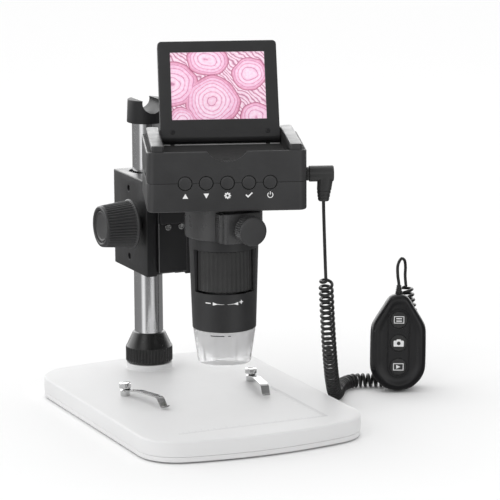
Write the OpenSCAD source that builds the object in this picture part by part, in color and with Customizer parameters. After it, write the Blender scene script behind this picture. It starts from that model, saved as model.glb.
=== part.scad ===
// LCD digital microscope on a stand, with a folding display, a rack and pinion
// focusing block, and a wired three-button remote.
// Frame: +Z up, millimetres. The origin is on the surface that it stands on, at the
// centre of the base plate. The front is towards -Y.

/* [Base] */
// Width of the base plate
base_w = 176; // [160:1:200]
// Height of the base plate's top face
base_t = 17; // [15:0.5:22]
// Radius of the base plate's corners in plan
base_r = 31.4; // [24:0.2:40]
// Distance of the column's axis behind the centre of the base
col_y = 97.1; // [94:0.1:99]

/* [Column] */
// Radius of the steel column
col_r = 11.2; // [9:0.1:12]
// Height of the column's top end, inside its cap
col_top = 219; // [210:1:219]

/* [Focusing block] */
// Half of the block's width
blk_hx = 20.5; // [19:0.5:24]
// Underside of the block
blk_z0 = 99.5; // [98:0.1:101]
// Top of the block
blk_z1 = 173.9; // [172:0.1:176]
// Height of the pinion's axis
pin_z = 139.8; // [136:0.1:142]
// Gear module of the rack and the pinion
gm = 1; // [1:0.1:1]
// Number of teeth of the pinion
gz = 16; // [16:1:16]

/* [Microscope head] */
// Distance of the barrel's axis in front of the base's centre
bar_y = 49.28; // [45:0.01:52]
// Turn of the head about the barrel's axis, in degrees
head_turn = -20.13; // [-30:0.01:20]
// Half of the head's width
head_hx = 58; // [56:0.5:62]
// Half of the head's depth
head_hy = 43.5; // [43:0.5:46]
// Underside of the head
head_z0 = 175; // [174.8:0.1:176]
// Height of the line between the head's two shells
head_zp = 196.2; // [195:0.1:198]
// Top of the head's front lip
head_z1 = 219.2; // [218:0.2:220]

/* [Display lid] */
// Lean of the open lid behind the vertical, in degrees
lid_lean = 27; // [10:0.1:34]
// Length of the lid from its hinge axis
lid_len = 74.2; // [70:0.1:74.4]
// Half of the lid's width
lid_hx = 44.6; // [42:0.1:45]
// Width of the visible picture
lcd_w = 71; // [66:0.1:72]
// Height of the visible picture
lcd_h = 53.3; // [50:0.1:54]

/* [Remote] */
// Height of the remote
rem_h = 76.3; // [76:0.1:78]
// Thickness of the remote
rem_t = 13.5; // [12:0.5:15]
// Lean of the remote behind the vertical, in degrees
rem_lean = 8; // [7:0.5:9]
// Sideways lean of the remote, in degrees
rem_roll = 1.5; // [0:0.5:2]

/* [Hidden] */
$fn = 64;
e = 0.01;
STEEL = [0.80, 0.80, 0.81];
BLACK = [0.13, 0.13, 0.14];
DARK = [0.20, 0.20, 0.21];
WHITE = [0.93, 0.93, 0.93];

// --- base plate outline, drawn in by i ---
corner_x = base_w / 2 - base_r;
corner_yf = -92.2;
corner_yb = 93.1;
module base_2d(i = 0) {
    strip = corner_x + (base_r - i) * 0.213;
    intersection() {
        translate([-strip, -140]) square([2 * strip, 280]);
        translate([0, 154]) circle(r = 284 - i, $fn = 256);
        translate([0, -192.3]) circle(r = 322 - i, $fn = 256);
    }
    translate([-base_w / 2 + i, corner_yf]) square([base_w - 2 * i, corner_yb - corner_yf]);
    for (x = [-corner_x, corner_x], y = [corner_yf, corner_yb])
        translate([x, y]) circle(r = base_r - i);
}
module slab(z0, z1) translate([0, 0, z0]) linear_extrude(z1 - z0) children();
foot_xy = [[-68, -105], [68, -105], [-68, 105], [68, 105]];
clip_xy = [[-52.5, 19], [52.5, 19]];
boss_z = base_t + 4.2;

module tube(r1, r0, z0, z1) translate([0, 0, z0]) difference() {
    cylinder(r = r1, h = z1 - z0);
    translate([0, 0, -1]) cylinder(r = r0, h = z1 - z0 + 2);
}
module rod(r, z0, z1) translate([0, 0, z0]) cylinder(r = r, h = z1 - z0);
module rodx(r, x0, x1) translate([x0, 0, 0]) rotate([0, 90, 0]) cylinder(r = r, h = x1 - x0);
module rody(r, y0, y1) translate([0, y1, 0]) rotate([90, 0, 0]) cylinder(r = r, h = y1 - y0);
module box(a, b) translate(a) cube(b - a);
// rectangle with round corners from two bars and four discs
module rrect(hx, y0, y1, r) {
    translate([-hx + r, y0]) square([2 * (hx - r), y1 - y0]);
    translate([-hx, y0 + r]) square([2 * hx, y1 - y0 - 2 * r]);
    for (x = [-hx + r, hx - r], y = [y0 + r, y1 - r]) translate([x, y]) circle(r = r, $fn = 48);
}

module base_pad() color("dimgray") slab(0, 1.2) base_2d(22);
module base_bottom() color(WHITE) difference() {
    slab(1.2, 5.2) base_2d(0.5);
    translate([0, col_y, 0]) rod(7.5, 0, 6);
    for (p = foot_xy) translate([p[0], p[1], 0]) { rod(1.7, 0, 6); rod(3.1, 0, 3); }
}
module base_shell() color(WHITE) difference() {
    union() {
        difference() {
            slab(5.2, base_t) base_2d();
            slab(5.1, base_t - 3) base_2d(3);
        }
        translate([0, col_y, 0]) { rod(16, 10.2, base_t - 1); rod(18, base_t - 1, boss_z); }
        for (p = foot_xy) translate([p[0], p[1], 0]) rod(4, 5.2, base_t - 2);
        for (p = clip_xy) translate([p[0], p[1], 0]) rod(5, 10.2, base_t - 2);
    }
    translate([0, col_y, 0]) rod(col_r + 0.02, 5, boss_z + 1);
    for (p = foot_xy) translate([p[0], p[1], 0]) rod(1.5, 5, 13.5);
    for (p = clip_xy) translate([p[0], p[1], 0]) rod(2, 10, base_t + 1);
}
module base_weight() color("gray") difference() {
    slab(5.2, 10.2) base_2d(9);
    translate([0, col_y, 0]) { rod(4.1, 5, 11); rod(col_r + 0.02, 8.2, 11); }
    for (p = foot_xy) translate([p[0], p[1], 0]) rod(5, 5, 11);
}
module base_screws() color(STEEL) for (p = foot_xy) translate([p[0], p[1], 0]) {
    rod(2.9, 1.5, 3);
    rod(1.49, 2.9, 13);
}

// --- column ---
module column() color(STEEL) translate([0, col_y, 0]) difference() {
    rod(col_r, 8.2, col_top);
    rod(4, 8, 26);
    rod(9.2, 30, col_top + 1);
}
module column_bolt() color("gray") translate([0, col_y, 0]) { rod(6.5, 2.2, 5.2); rod(3.98, 5.1, 25); }
module column_cap() color(BLACK) translate([0, col_y, 0]) difference() {
    translate([0, 0, 212.6]) cylinder(r1 = 15.1, r2 = 14.3, h = 17.9);
    rod(col_r + 0.02, 212, col_top);
    translate([0, 0, 228.5]) rody(7.9, -17, 17);
}
module lock_collar() color(BLACK) translate([0, col_y, 0]) {
    difference() {
        rotate_extrude() polygon([[5, 21.6], [17.9, 21.6], [17.9, 34.2], [17.5, 34.6], [12.6, 45.6], [5, 45.6]]);
        rod(col_r + 0.05, 20, 47);
    }
    for (k = [0:29]) rotate([0, 0, 12 * k]) translate([17.8, 0, 22.2]) cylinder(r = 0.6, h = 11.6, $fn = 16);
}

// --- stage clips: side profile (distance from the post, height), then its width ---
clip_len = 48;
clip_top = [[-4.5, 22.3], [8, 22.3], [20, 24.3], [45, 25.3], [48, 24.7], [51.5, 18.8], [53, 18.0], [56.5, 20.2]];
module clip_arm() {
    n = len(clip_top);
    difference() {
        rotate([90, 0, 0]) translate([0, 0, -3.2]) linear_extrude(6.4)
            polygon([for (p = clip_top) p, for (i = [0:n - 1]) clip_top[n - 1 - i] - [i < 3 ? 0.5 : 0, 0.8]]);
        rod(2.05, 15, 30);
    }
}
module clip_left() color(STEEL) translate([clip_xy[0][0], clip_xy[0][1], 0]) rotate([0, 0, -90 + 11.7]) clip_arm();
module clip_right() color(STEEL) translate([clip_xy[1][0], clip_xy[1][1], 0]) rotate([0, 0, -90 - 11.7]) clip_arm();
module clip_posts() color(STEEL) for (p = clip_xy) translate([p[0], p[1], 0]) {
    rod(1.99, 10.5, 23);
    rod(3.6, base_t, 21.3);
    rod(4.4, 22.5, 27);
}

// --- focusing block on its bush ---
module clamp_bush() color("peru") translate([0, col_y, 0]) difference() {
    union() { rod(14, blk_z0 + 0.2, blk_z1 - 1.5); rod(17, blk_z0 + 0.2, blk_z0 + 2.8); }
    rod(col_r + 0.05, 90, 190);
}
gear_y = 64;
pitch_r = gm * gz / 2;
module at_shaft() translate([0, gear_y, pin_z]) children();
module block_housing() color(DARK) difference() {
    slab(blk_z0, blk_z1) rrect(blk_hx, 50, 115.8, 1.2);
    translate([0, col_y, 0]) { rod(14.05, 90, 190); rod(17.3, 90, blk_z0 + 3.1); }
    box([-12, 49, 90], [12, 52.8, 190]);
    box([-14.3, 52.8 - e, 90], [14.3, 55.7, 190]);
    box([-5.4, 55.7 - e, 90], [5.4, 57.6, 190]);
    at_shaft() { rodx(3.05, -30, 30); rodx(9.6, -5.4, 5.4); }
    for (z = [109.8, 163.6]) translate([0, 85.3, z]) { rodx(2.5, -21, -16.5); rodx(1.5, -16.6, -13.4); }
    translate([0, 0, 137]) rody(2.55, 110, 120);
}
module block_screws() color("dimgray") for (z = [109.8, 163.6]) translate([0, 85.3, z]) {
    rodx(2.4, -18.6, -16.5);
    rodx(1.48, -16.6, -15);
}
module block_lock_knob() color(BLACK) translate([0, 0, 137]) {
    rody(2.5, 111.5, 117);
    rody(8, 116.2, 118.9);
    rody(9.5, 118.8, 128.9);
}
// involute flank of the pinion: half angle of a tooth at radius r
base_rad = pitch_r * cos(20);
function inv(r) = let (a = acos(min(1, base_rad / r))) tan(a) * 180 / PI - a;
function half_angle(r) = 90 / gz - 0.9 + inv(pitch_r) - inv(r);
tip_r = pitch_r + 0.88 * gm;
root_r = pitch_r - 1.3 * gm;
function tooth(c) = [
    [root_r, c - half_angle(base_rad)],
    for (i = [0:3]) let (r = base_rad + (tip_r - base_rad) * i / 3) [r, c - half_angle(r)],
    for (i = [0:3]) let (r = tip_r - (tip_r - base_rad) * i / 3) [r, c + half_angle(r)],
    [root_r, c + half_angle(base_rad)]
];
// a tooth space faces the rack, which lies on the shaft's -Y side
module pinion_shaft() color(STEEL) at_shaft() {
    rotate([90, 0, 90]) translate([0, 0, -4.8]) linear_extrude(9.6)
        polygon([for (k = [0:gz - 1]) for (q = tooth(180 + 360 / gz * (k + 0.5))) [q[0] * cos(q[1]), q[0] * sin(q[1])]]);
    rodx(3, -50, -4.7);
    rodx(3, 4.7, 50);
}
module focus_knob() {
    difference() {
        rotate([0, 90, 0]) rotate_extrude() polygon([[1, 27.2], [18.6, 27.2], [19.1, 28.2], [18.3, 28.9], [16, 52], [15, 53.1], [12.6, 53.1], [12.6, 51.4], [1, 51.4]]);
        rodx(3.02, 20, 50.05);
    }
    for (k = [0:35]) rotate([10 * k, 0, 0]) translate([29, 0, 18.1]) rotate([0, 90 + 5.7, 0]) cylinder(r = 0.45, h = 22.6, $fn = 16);
    rodx(6, 21, 27.3);
}
module knob_right() color(BLACK) at_shaft() difference() { focus_knob(); rodx(3.02, 20, 27.5); }
module knob_left() color(BLACK) at_shaft() mirror([1, 0, 0]) difference() { focus_knob(); rodx(3.02, 20, 27.5); }

// --- slide with its rack, bracket and ring ---
module slide_plate() color(DARK) difference() {
    union() {
        box([-11.7, 46.5, 102.5], [11.7, 53.1, 173]);
        box([-14, 53, 102.5], [14, 55.4, 173]);
    }
    box([-5.05, 53, 102], [5.05, 56, 174]);
    for (x = [-3.9, 7.1]) translate([x, 0, 138.2]) rody(1.6, 46, 52);
    for (x = [-7, 7]) translate([x, 0, 156]) rody(1.6, 46, 52);
}
rack_y = gear_y - pitch_r;
rack_teeth = [for (k = [-11:10]) pin_z + k * PI * gm];
module rack() color(STEEL) rotate([90, 0, 90]) translate([0, 0, -5]) linear_extrude(10)
    polygon([
        [53.01, 103.2],
        [rack_y - 1.3, 103.2],
        for (z = rack_teeth) each [
            [rack_y - 1.3, z - 0.70 - 1.3 * tan(20)], [rack_y + 0.88, z - 0.70 + 0.88 * tan(20)],
            [rack_y + 0.88, z + 0.70 - 0.88 * tan(20)], [rack_y - 1.3, z + 0.70 + 1.3 * tan(20)]
        ],
        [rack_y - 1.3, 172.8],
        [53.01, 172.8]
    ]);
module slide_screws() color(STEEL) {
    for (x = [-3.9, 7.1]) translate([x, 0, 138.2]) { rody(1.58, 46.4, 51.5); rody(2.7, 45.5, 46.49); }
    for (x = [-7, 7]) translate([x, 0, 156]) { rody(1.58, 42.4, 51.5); rody(3, 40.5, 42.49); }
}
module ring_holder() color(DARK) difference() {
    union() {
        translate([0, -bar_y, 149.6]) cylinder(r = 28.8, h = 23.9);
        slab(149.6, 171.9) difference() {
            rrect(15, -86.4, -40, 4);
            translate([-20, -60]) square([40, 30]);
        }
        box([-11.5, -26, 160.5], [11.5, 44, 171.5]);
        box([-11.7, 42.5, 141.2], [11.7, 46.48, 173]);
    }
    translate([0, -bar_y, 0]) rod(25.8, 140, 180);
    translate([0, 0, 161]) rody(2.55, -90, -70);
    for (x = [-7, 7]) translate([x, 0, 156]) rody(1.6, 42, 48);
}
module ring_clamp_knob() color(BLACK) translate([0, 0, 161]) {
    rody(2.5, -92.4, -75.4);
    rody(4.6, -92, -86.8);
    rody(10.8, -103.1, -91.6);
}

// --- head, drawn square and then turned about the barrel's axis ---
module head_place() translate([0, -bar_y, 0]) rotate([0, 0, head_turn]) children();
btn_x = [-30.4, -15.2, 0.2, 15.7, 31.1];
post_xy = [[-50, -36], [50, -36], [-50, 36], [50, 36]];
jack_y = -28;
jack_z = 199;
tray_z = 211.9;
rail_in = 45.3;
lid_ay = 32;
lid_az = 217.3;
module head_cuts() {
    for (x = btn_x) translate([x, 0, head_zp]) rody(5.25, -45, -40);
    translate([0, jack_y, jack_z]) rodx(4.2, 54, 60);
    box([-60, -22, 197.4], [-54, -9, 200]);
    box([-60, 2, 197.4], [-54, 11, 200.6]);
}
module head_lower() color(DARK) head_place() difference() {
    slab(head_z0, head_zp) rrect(head_hx, -head_hy, head_hy, 6.5);
    slab(head_z0 + 2.5, head_zp + 1) rrect(head_hx - 2.4, -head_hy + 2.4, head_hy - 2.4, 4.1);
    rod(16.2, 170, 180);
    for (p = post_xy) translate([p[0], p[1], 0]) { rod(1.6, 170, 180); rod(3, 170, head_z0 + 1.1); }
    head_cuts();
}
module head_upper() color(DARK) head_place() difference() {
    union() {
        difference() {
            slab(head_zp, head_z1) rrect(head_hx, -head_hy, head_hy, 6.5);
            slab(head_zp - 1, tray_z - 2) rrect(head_hx - 2.4, -head_hy + 2.4, head_hy - 2.4, 4.1);
            box([-rail_in, -head_hy + 1.1, tray_z], [rail_in, 28.3, 230]);
            box([-rail_in, 28.2, tray_z + 0.4], [rail_in, 39.5, 230]);
        }
        for (s = [-1, 1]) translate([s * (rail_in + 4.65), 0, 0])
            slab(head_z1 - 1, 223.7) rrect(4.65, -head_hy + 1.2, head_hy - 0.2, 2.4);
        for (p = post_xy) translate([p[0], p[1], 0]) rod(3.5, head_z0 + 2.5, tray_z - 1);
    }
    // finger notch in the front lip
    translate([0, 0, 229.6]) rody(18, -45, -30);
    // bearings of the lid's pins
    translate([0, lid_ay, lid_az]) rodx(1.55, -51, 51);
    for (p = post_xy) translate([p[0], p[1], 0]) rod(1.3, head_z0, 200);
    head_cuts();
}
module head_screws() color(STEEL) head_place() for (p = post_xy) translate([p[0], p[1], 0]) {
    rod(2.9, head_z0 + 0.1, head_z0 + 1.1);
    rod(1.29, head_z0 + 1, 195);
}
module main_board() color("darkgreen") head_place() difference() {
    box([-45, -30, 191], [43, 38, 192.6]);
    translate([-14, 0, 0]) rod(3, 190, 194);
}
module battery() color("silver") head_place() box([-34, -6, 180.2], [34, 37, 188.4]);
module button_board() color("darkgreen") head_place() {
    box([-40, -33.6, 184], [40, -32, 206]);
    for (x = btn_x) {
        box([x - 3, -36.2, head_zp - 3], [x + 3, -33.59, head_zp + 3]);
        translate([x, 0, head_zp]) rody(1.7, -37.3, -36.1);
    }
}
module jack_socket() color(BLACK) head_place() difference() {
    union() {
        box([42, jack_y - 3.2, jack_z - 4.2], [55.5, jack_y + 3.2, jack_z + 4]);
        translate([0, jack_y, jack_z]) rodx(4.1, 55.4, 58.2);
    }
    translate([0, jack_y, jack_z]) rodx(1.8, 43.5, 60);
}
module side_sockets() color(STEEL) head_place() difference() {
    union() {
        box([-55.5, -21.8, 197.5], [-44, -9.2, 199.9]);
        box([-55.5, 2.2, 197.5], [-47, 10.8, 200.5]);
    }
    box([-56, -21, 198.1], [-45, -10, 199.3]);
    box([-56, 3, 198.2], [-48, 10, 199.8]);
}
// head buttons: cap through the wall, with a flange behind it
module head_button(i) color(BLACK) head_place() translate([btn_x[i], 0, head_zp]) {
    rody(4.95, -43.9, -40.6);
    rody(5.9, -40.7, -39.6);
    rody(2, -39.7, -38.4);
}
module btn_up() head_button(0);
module btn_down() head_button(1);
module btn_menu() head_button(2);
module btn_ok() head_button(3);
module btn_power() head_button(4);

// --- barrel under the head ---
win_z0 = 109;
win_z1 = 141.3;
module barrel() color(DARK) head_place() difference() {
    rotate_extrude() polygon([
        [20, 80.2], [23.66, 80.2], [25.67, 143], [25.75, 143.1], [25.75, 173.7], [28, 173.7], [28, head_z0 - 0.05],
        [15.9, head_z0 - 0.05], [15.9, 174], [20, 170], [20, win_z1], [15.9, win_z1], [15.9, win_z0], [20, win_z0 - 3]
    ]);
    difference() {
        rod(22.6, win_z0, win_z1);
        rod(15, win_z0 - 1, win_z1 + 1);
    }
    rod(21, 79, 85.2);
    for (s = [0, 180]) rotate([0, 0, s]) window_wedge();
}
// the window: a sector of 64 degrees each side of the front
module window_wedge() intersection() {
    rod(30, win_z0, win_z1);
    slab(win_z0, win_z1) polygon([[0, 0], [-60 * sin(64), -60 * cos(64)], [-60, -60], [60, -60], [60 * sin(64), -60 * cos(64)]]);
}
module barrel_core() color("gray") head_place() {
    tube(15.8, 14, 86, 174);
    tube(19.9, 15.79, 96, 100.2);
}
module focus_wheel() color(BLACK) head_place() {
    tube(21.6, 15.85, win_z0 + 0.6, win_z1 - 0.6);
    for (k = [0:47]) rotate([0, 0, 7.5 * k]) translate([21.5, 0, win_z0 + 1.2]) cylinder(r = 0.6, h = win_z1 - win_z0 - 2.4, $fn = 16);
}
module lens_carrier() color("dimgray") head_place() {
    tube(13.9, 8.05, 104, 126);
}
module objective_lens() color("lightblue") head_place() rod(8, 106, 111);
module image_sensor() color("darkgreen") head_place() { rod(13.7, 160, 161.6); box([-4, -3, 158], [4, 3, 160.01]); }
module led_ring() color("khaki") head_place() {
    tube(18, 8.5, 85.3, 86);
    for (k = [0:7]) rotate([0, 0, 45 * k]) translate([13, 0, 0]) rod(1.5, 82, 85.31);
}
module shroud() color([0.85, 0.88, 0.9, 0.5]) head_place() {
    rotate_extrude() polygon([[23.29, 80.2], [19.47, 54.2], [17.77, 54.2], [19.2, 80.2], [19.2, 84.9], [20.98, 84.9], [20.98, 80.2]]);
}

// --- display lid, drawn upright on its hinge axis and then leaned back ---
module lid_place() head_place() translate([0, lid_ay, lid_az]) rotate([-lid_lean, 0, 0]) children();
lcd_z0 = 12.3;
module lid_outline() {
    // free corners are round, the hinge end is square
    translate([-lid_hx, 0]) square([2 * lid_hx, lid_len - 3]);
    translate([-lid_hx + 3, 0]) square([2 * lid_hx - 6, lid_len]);
    for (x = [-lid_hx + 3, lid_hx - 3]) translate([x, lid_len - 3]) circle(r = 3, $fn = 48);
}
module lid_slab(y0, y1) translate([0, y1, 0]) rotate([90, 0, 0]) linear_extrude(y1 - y0) lid_outline();
module lid_bezel() color(BLACK) lid_place() difference() {
    lid_slab(-4.2, -0.2);
    box([-50, -5, -1], [50, 1, 4.3]);
    box([-lcd_w / 2, -5, lcd_z0], [lcd_w / 2, 0, lcd_z0 + lcd_h]);
    box([-38.6, -3.6, 9.4], [38.6, 0, 68]);
}
module lcd_panel() color("plum") lid_place() box([-38.4, -3.55, 9.6], [38.4, -0.25, 67.8]);
module lid_back() color(DARK) lid_place() difference() {
    union() {
        lid_slab(-0.2, 4.2);
        box([-lid_hx, -4.2, 0], [lid_hx, 0, 4.25]);
        rodx(4.2, -lid_hx, lid_hx);
    }
    box([-42, -0.3, 6], [42, 2.4, 72]);
    rodx(1.5, -50, -36);
    rodx(1.5, 36, 50);
    for (x = [-34, 34]) translate([x, 0, 2.8]) rody(1.6, -5, -3);
}
module hinge_pins() color(STEEL) lid_place() { rodx(1.49, -50, -36.5); rodx(1.49, 36.5, 50); }

// --- right-angle plug in the head's socket ---
plug_x = 71.3;
plug_end = 178.7;
module plug() color(BLACK) head_place() translate([0, jack_y, 0]) {
    translate([0, 0, jack_z]) { rodx(1.75, 45, 58.4); rodx(5, 58.3, 60.6); rodx(5.8, 60.5, 78.6); }
    translate([plug_x + 1, 0, 0]) rod(5.3, 186.5, jack_z);
    translate([plug_x, 0, plug_end]) cylinder(r1 = 3.7, r2 = 4.6, h = 7.9);
}

// --- remote: outline as a pebble that narrows upwards ---
rem_x = 169.5;
rem_y = -1;
rem_yaw = -22;
module remote_place() translate([rem_x, rem_y, 0.62]) rotate([0, 0, rem_yaw]) rotate([-rem_lean, 0, 0]) rotate([0, rem_roll, 0]) children();
// right half of the outline, from the foot to the top, as (half width, height)
rem_ctl = [
    [-6.6, 1.15], [0, 0], [6.6, 1.15], [12, 3.6], [17, 8.3], [20, 13.2], [21.4, 18.2], [21.7, 26], [21.7, 38],
    [21.45, 48], [20.3, 53], [17.6, 58], [13.2, 65], [8.8, 72], [6.3, 74.6], [3.2, 75.9], [0, rem_h], [-3.2, 75.9]
];
function rem_edge() = spline(rem_ctl, 2);
function pebble(i) = let (q = rem_edge(), n = len(q) - 1) [for (k = [0:n])
    k == 0 ? [0, i] : k == n ? [0, rem_h - i] : let (t = unit(q[k + 1] - q[k - 1])) q[k] + i * [-t[1], t[0]]];
module pebble_2d(i = 0) polygon([for (p = pebble(i)) p, for (j = [0:len(pebble(i)) - 1]) let (p = pebble(i)[len(pebble(i)) - 1 - j]) [-p[0], p[1]]]);
module rem_slab(y0, y1, i) translate([0, y1, 0]) rotate([90, 0, 0]) linear_extrude(y1 - y0) pebble_2d(i);
rem_btn_z = [19.2, 37.9, 56.1];
rem_screw = [[-9, 22], [9, 22]];
module remote_front() color(BLACK) remote_place() difference() {
    union() { rem_slab(-4.4, 0, 0); rem_slab(-rem_t / 2, -4.3, 2.2); }
    rem_slab(-4.2, 1, 2);
    for (z = rem_btn_z) translate([0, 0, z]) rody(6.85, -8, -3);
    translate([0, 0, 60]) rod(2.3, 0, 20);
}
module remote_back() color(BLACK) remote_place() difference() {
    union() {
        difference() {
            union() { rem_slab(0.02, 4.4, 0); rem_slab(4.3, rem_t / 2, 2.2); }
            rem_slab(-1, 4.2, 2);
        }
        for (p = rem_screw) translate([p[0], 0, p[1]]) rody(2.6, 1.2, 5);
    }
    translate([0, 0, 60]) rod(2.3, 0, 20);
    for (p = rem_screw) translate([p[0], 0, p[1]]) { rody(1.1, 0, 5.8); rody(2, 5.6, 8); }
}
module remote_board() color("darkgreen") remote_place() {
    box([-11, -0.6, 9], [11, 0.8, 60]);
    for (z = rem_btn_z) { box([-2.5, -1.6, z - 2.5], [2.5, -0.59, z + 2.5]); }
}
module remote_button(i) color(BLACK) remote_place() translate([0, 0, rem_btn_z[i]]) {
    rody(6.6, -6.3, -4);
    rody(7.5, -4.1, -3.3);
    rody(1.5, -3.4, -2.4);
}
module remote_btn_1() remote_button(0);
module remote_btn_2() remote_button(1);
module remote_btn_3() remote_button(2);
relief_end = rem_h + 6.8;
module remote_relief() color(BLACK) remote_place() translate([0, 0, rem_h - 5.5]) {
    translate([0, 0, 0]) cylinder(r = 2.25, h = 5.6);
    translate([0, 0, 5.5]) cylinder(r1 = 3, r2 = 1.75, h = 6.8);
}

// --- cord: a straight lead, then a curly run, then a straight tail ---
wire_d = 2.4;
coil_d = 11.4;
// lowest end of the plug's strain relief, in the row frame
lead_x = plug_x * cos(head_turn) - jack_y * sin(head_turn);
lead_y = -bar_y + plug_x * sin(head_turn) + jack_y * cos(head_turn);
lead_z = plug_end;
straight = 4;
sag_a = 57;
sag_dir = [0.5185, 0.8551];
function acosh_(u) = ln(u + sqrt(u * u - 1));
sag_s = sag_a * acosh_(1 + (lead_z - straight - coil_d / 2) / sag_a);
sag_l = sag_a * (exp(sag_s / sag_a) - exp(-sag_s / sag_a)) / 2;
touch = [lead_x + sag_dir[0] * sag_s, lead_y + sag_dir[1] * sag_s];
function asinh_(u) = ln(u + sqrt(u * u + 1));
// point of the hanging stretch at arc length l from where it meets the surface
function hang(l) = let (s = sag_a * asinh_(l / sag_a))
    [touch[0] - sag_dir[0] * s, touch[1] - sag_dir[1] * s, coil_d / 2 + sqrt(sag_a * sag_a + l * l) - sag_a];
lead_len = 60;
lead_pts = [[lead_x, lead_y, lead_z], for (l = [0:6:lead_len - 6]) hang(sag_l - l), hang(sag_l - lead_len + 0.25)];
hang_pts = [for (k = [0:12]) hang((sag_l - lead_len) * (1 - k / 12))];
// route behind the remote, as (across, behind, up) from the remote's foot
function from_foot(q) = [
    rem_x + q[0] * cos(rem_yaw) - q[1] * sin(rem_yaw),
    rem_y + q[0] * sin(rem_yaw) + q[1] * cos(rem_yaw), q[2]];
cz = coil_d / 2;
floor_ctl = [
    hang(8), [touch[0], touch[1], cz], [126, 12, cz], [135, 20.5, cz],
    from_foot([-31, 14.3, cz]), from_foot([-15, 13.9, cz]), from_foot([0, 14.1, cz]),
    from_foot([9.5, 14.5, 6.8]), from_foot([15.3, 15.3, 14]), from_foot([16.5, 16.9, 26]), from_foot([14.8, 19.1, 42]),
    from_foot([12.2, 21.3, 58]), from_foot([9.9, 23.2, 72]), from_foot([8.8, 24.3, 80]), from_foot([8, 24.9, 88])
];
function cr(a, b, c, d, t) = 0.5 * (2 * b + (c - a) * t + (2 * a - 5 * b + 4 * c - d) * t * t + (-a + 3 * b - 3 * c + d) * t * t * t);
function spline(q, n) = [
    for (i = [1:len(q) - 3]) for (k = [0:n - 1]) cr(q[i - 1], q[i], q[i + 1], q[i + 2], k / n),
    q[len(q) - 2]
];
floor_pts = spline(floor_ctl, 2);
tail_ctl = [
    from_foot([2, 10.3, 74]),
    from_foot([relief_end * sin(rem_roll), relief_end * cos(rem_roll) * sin(rem_lean), 0.62 + relief_end * cos(rem_roll) * cos(rem_lean)]),
    from_foot([1.3, 12.6, 90.5]), from_foot([1.6, 15, 98]), from_foot([4.6, 18.8, 102.4]), from_foot([7.6, 22.8, 100]),
    from_foot([8.5, 25, 94]), from_foot([8.3, 25.1, 87.5]), from_foot([8.8, 24.3, 80]), from_foot([9.9, 23.2, 72])
];
tail_pts = spline(tail_ctl, 2);
function unit(v) = v / norm(v);
function along(p, i) = unit(p[min(i + 1, len(p) - 1)] - p[max(i - 1, 0)]);
// rings that turn with the route: each starts from the one before it
function frames(p, i = 0, u = [1, 0.2, 0.1]) = i >= len(p) ? [] :
    let (t = along(p, i), v = unit(u - (u * t) * t)) concat([[v, cross(t, v)]], frames(p, i + 1, v));
module sweep(p, r, sides = 8) {
    f = frames(p);
    n = len(p);
    pts = [for (i = [0:n - 1]) for (k = [0:sides - 1]) let (a = 360 * (k + 0.5) / sides) p[i] + r * (cos(a) * f[i][0] + sin(a) * f[i][1])];
    polyhedron(points = pts, faces = [
        [for (k = [0:sides - 1]) k],
        for (i = [0:n - 2]) for (k = [0:sides - 1]) let (a = i * sides + k, b = i * sides + (k + 1) % sides) each [[a, a + sides, b], [b, a + sides, b + sides]],
        [for (k = [0:sides - 1]) n * sides - 1 - k]
    ], convexity = 6);
}
module cord_lead() color(BLACK) sweep(lead_pts, wire_d / 2);
module cord_coil() color(BLACK) sweep(concat([for (i = [0:11]) hang_pts[i]], floor_pts), coil_d / 2);
module cord_tail() color(BLACK) sweep(tail_pts, wire_d / 2);

base_pad();
base_bottom();
base_shell();
base_weight();
base_screws();
column();
column_bolt();
column_cap();
lock_collar();
clip_left();
clip_right();
clip_posts();
clamp_bush();
block_housing();
block_screws();
block_lock_knob();
pinion_shaft();
knob_left();
knob_right();
slide_plate();
rack();
slide_screws();
ring_holder();
ring_clamp_knob();
head_lower();
head_upper();
head_screws();
main_board();
battery();
button_board();
jack_socket();
side_sockets();
btn_up();
btn_down();
btn_menu();
btn_ok();
btn_power();
barrel();
barrel_core();
focus_wheel();
lens_carrier();
objective_lens();
image_sensor();
led_ring();
shroud();
lid_bezel();
lcd_panel();
lid_back();
hinge_pins();
plug();
remote_front();
remote_back();
remote_board();
remote_btn_1();
remote_btn_2();
remote_btn_3();
remote_relief();
cord_lead();
cord_coil();
cord_tail();
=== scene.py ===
import bpy
import bmesh
import math
from math import sin, cos, pi, radians, sqrt, log
from mathutils import Matrix, Vector


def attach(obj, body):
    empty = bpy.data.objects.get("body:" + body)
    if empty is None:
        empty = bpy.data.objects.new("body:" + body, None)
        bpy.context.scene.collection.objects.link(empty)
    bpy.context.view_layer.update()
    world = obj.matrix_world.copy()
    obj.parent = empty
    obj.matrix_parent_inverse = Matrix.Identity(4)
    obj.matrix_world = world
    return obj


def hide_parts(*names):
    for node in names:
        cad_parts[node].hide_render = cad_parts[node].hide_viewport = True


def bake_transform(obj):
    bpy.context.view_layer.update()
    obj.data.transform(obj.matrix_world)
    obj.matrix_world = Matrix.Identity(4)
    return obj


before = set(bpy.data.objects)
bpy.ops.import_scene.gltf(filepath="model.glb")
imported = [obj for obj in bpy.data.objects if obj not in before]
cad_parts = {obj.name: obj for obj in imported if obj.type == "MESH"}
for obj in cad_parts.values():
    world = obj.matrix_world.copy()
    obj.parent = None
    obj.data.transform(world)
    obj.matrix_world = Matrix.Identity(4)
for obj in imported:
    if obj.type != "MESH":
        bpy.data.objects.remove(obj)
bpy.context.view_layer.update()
scene = bpy.context.scene
MM = 0.001

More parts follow.
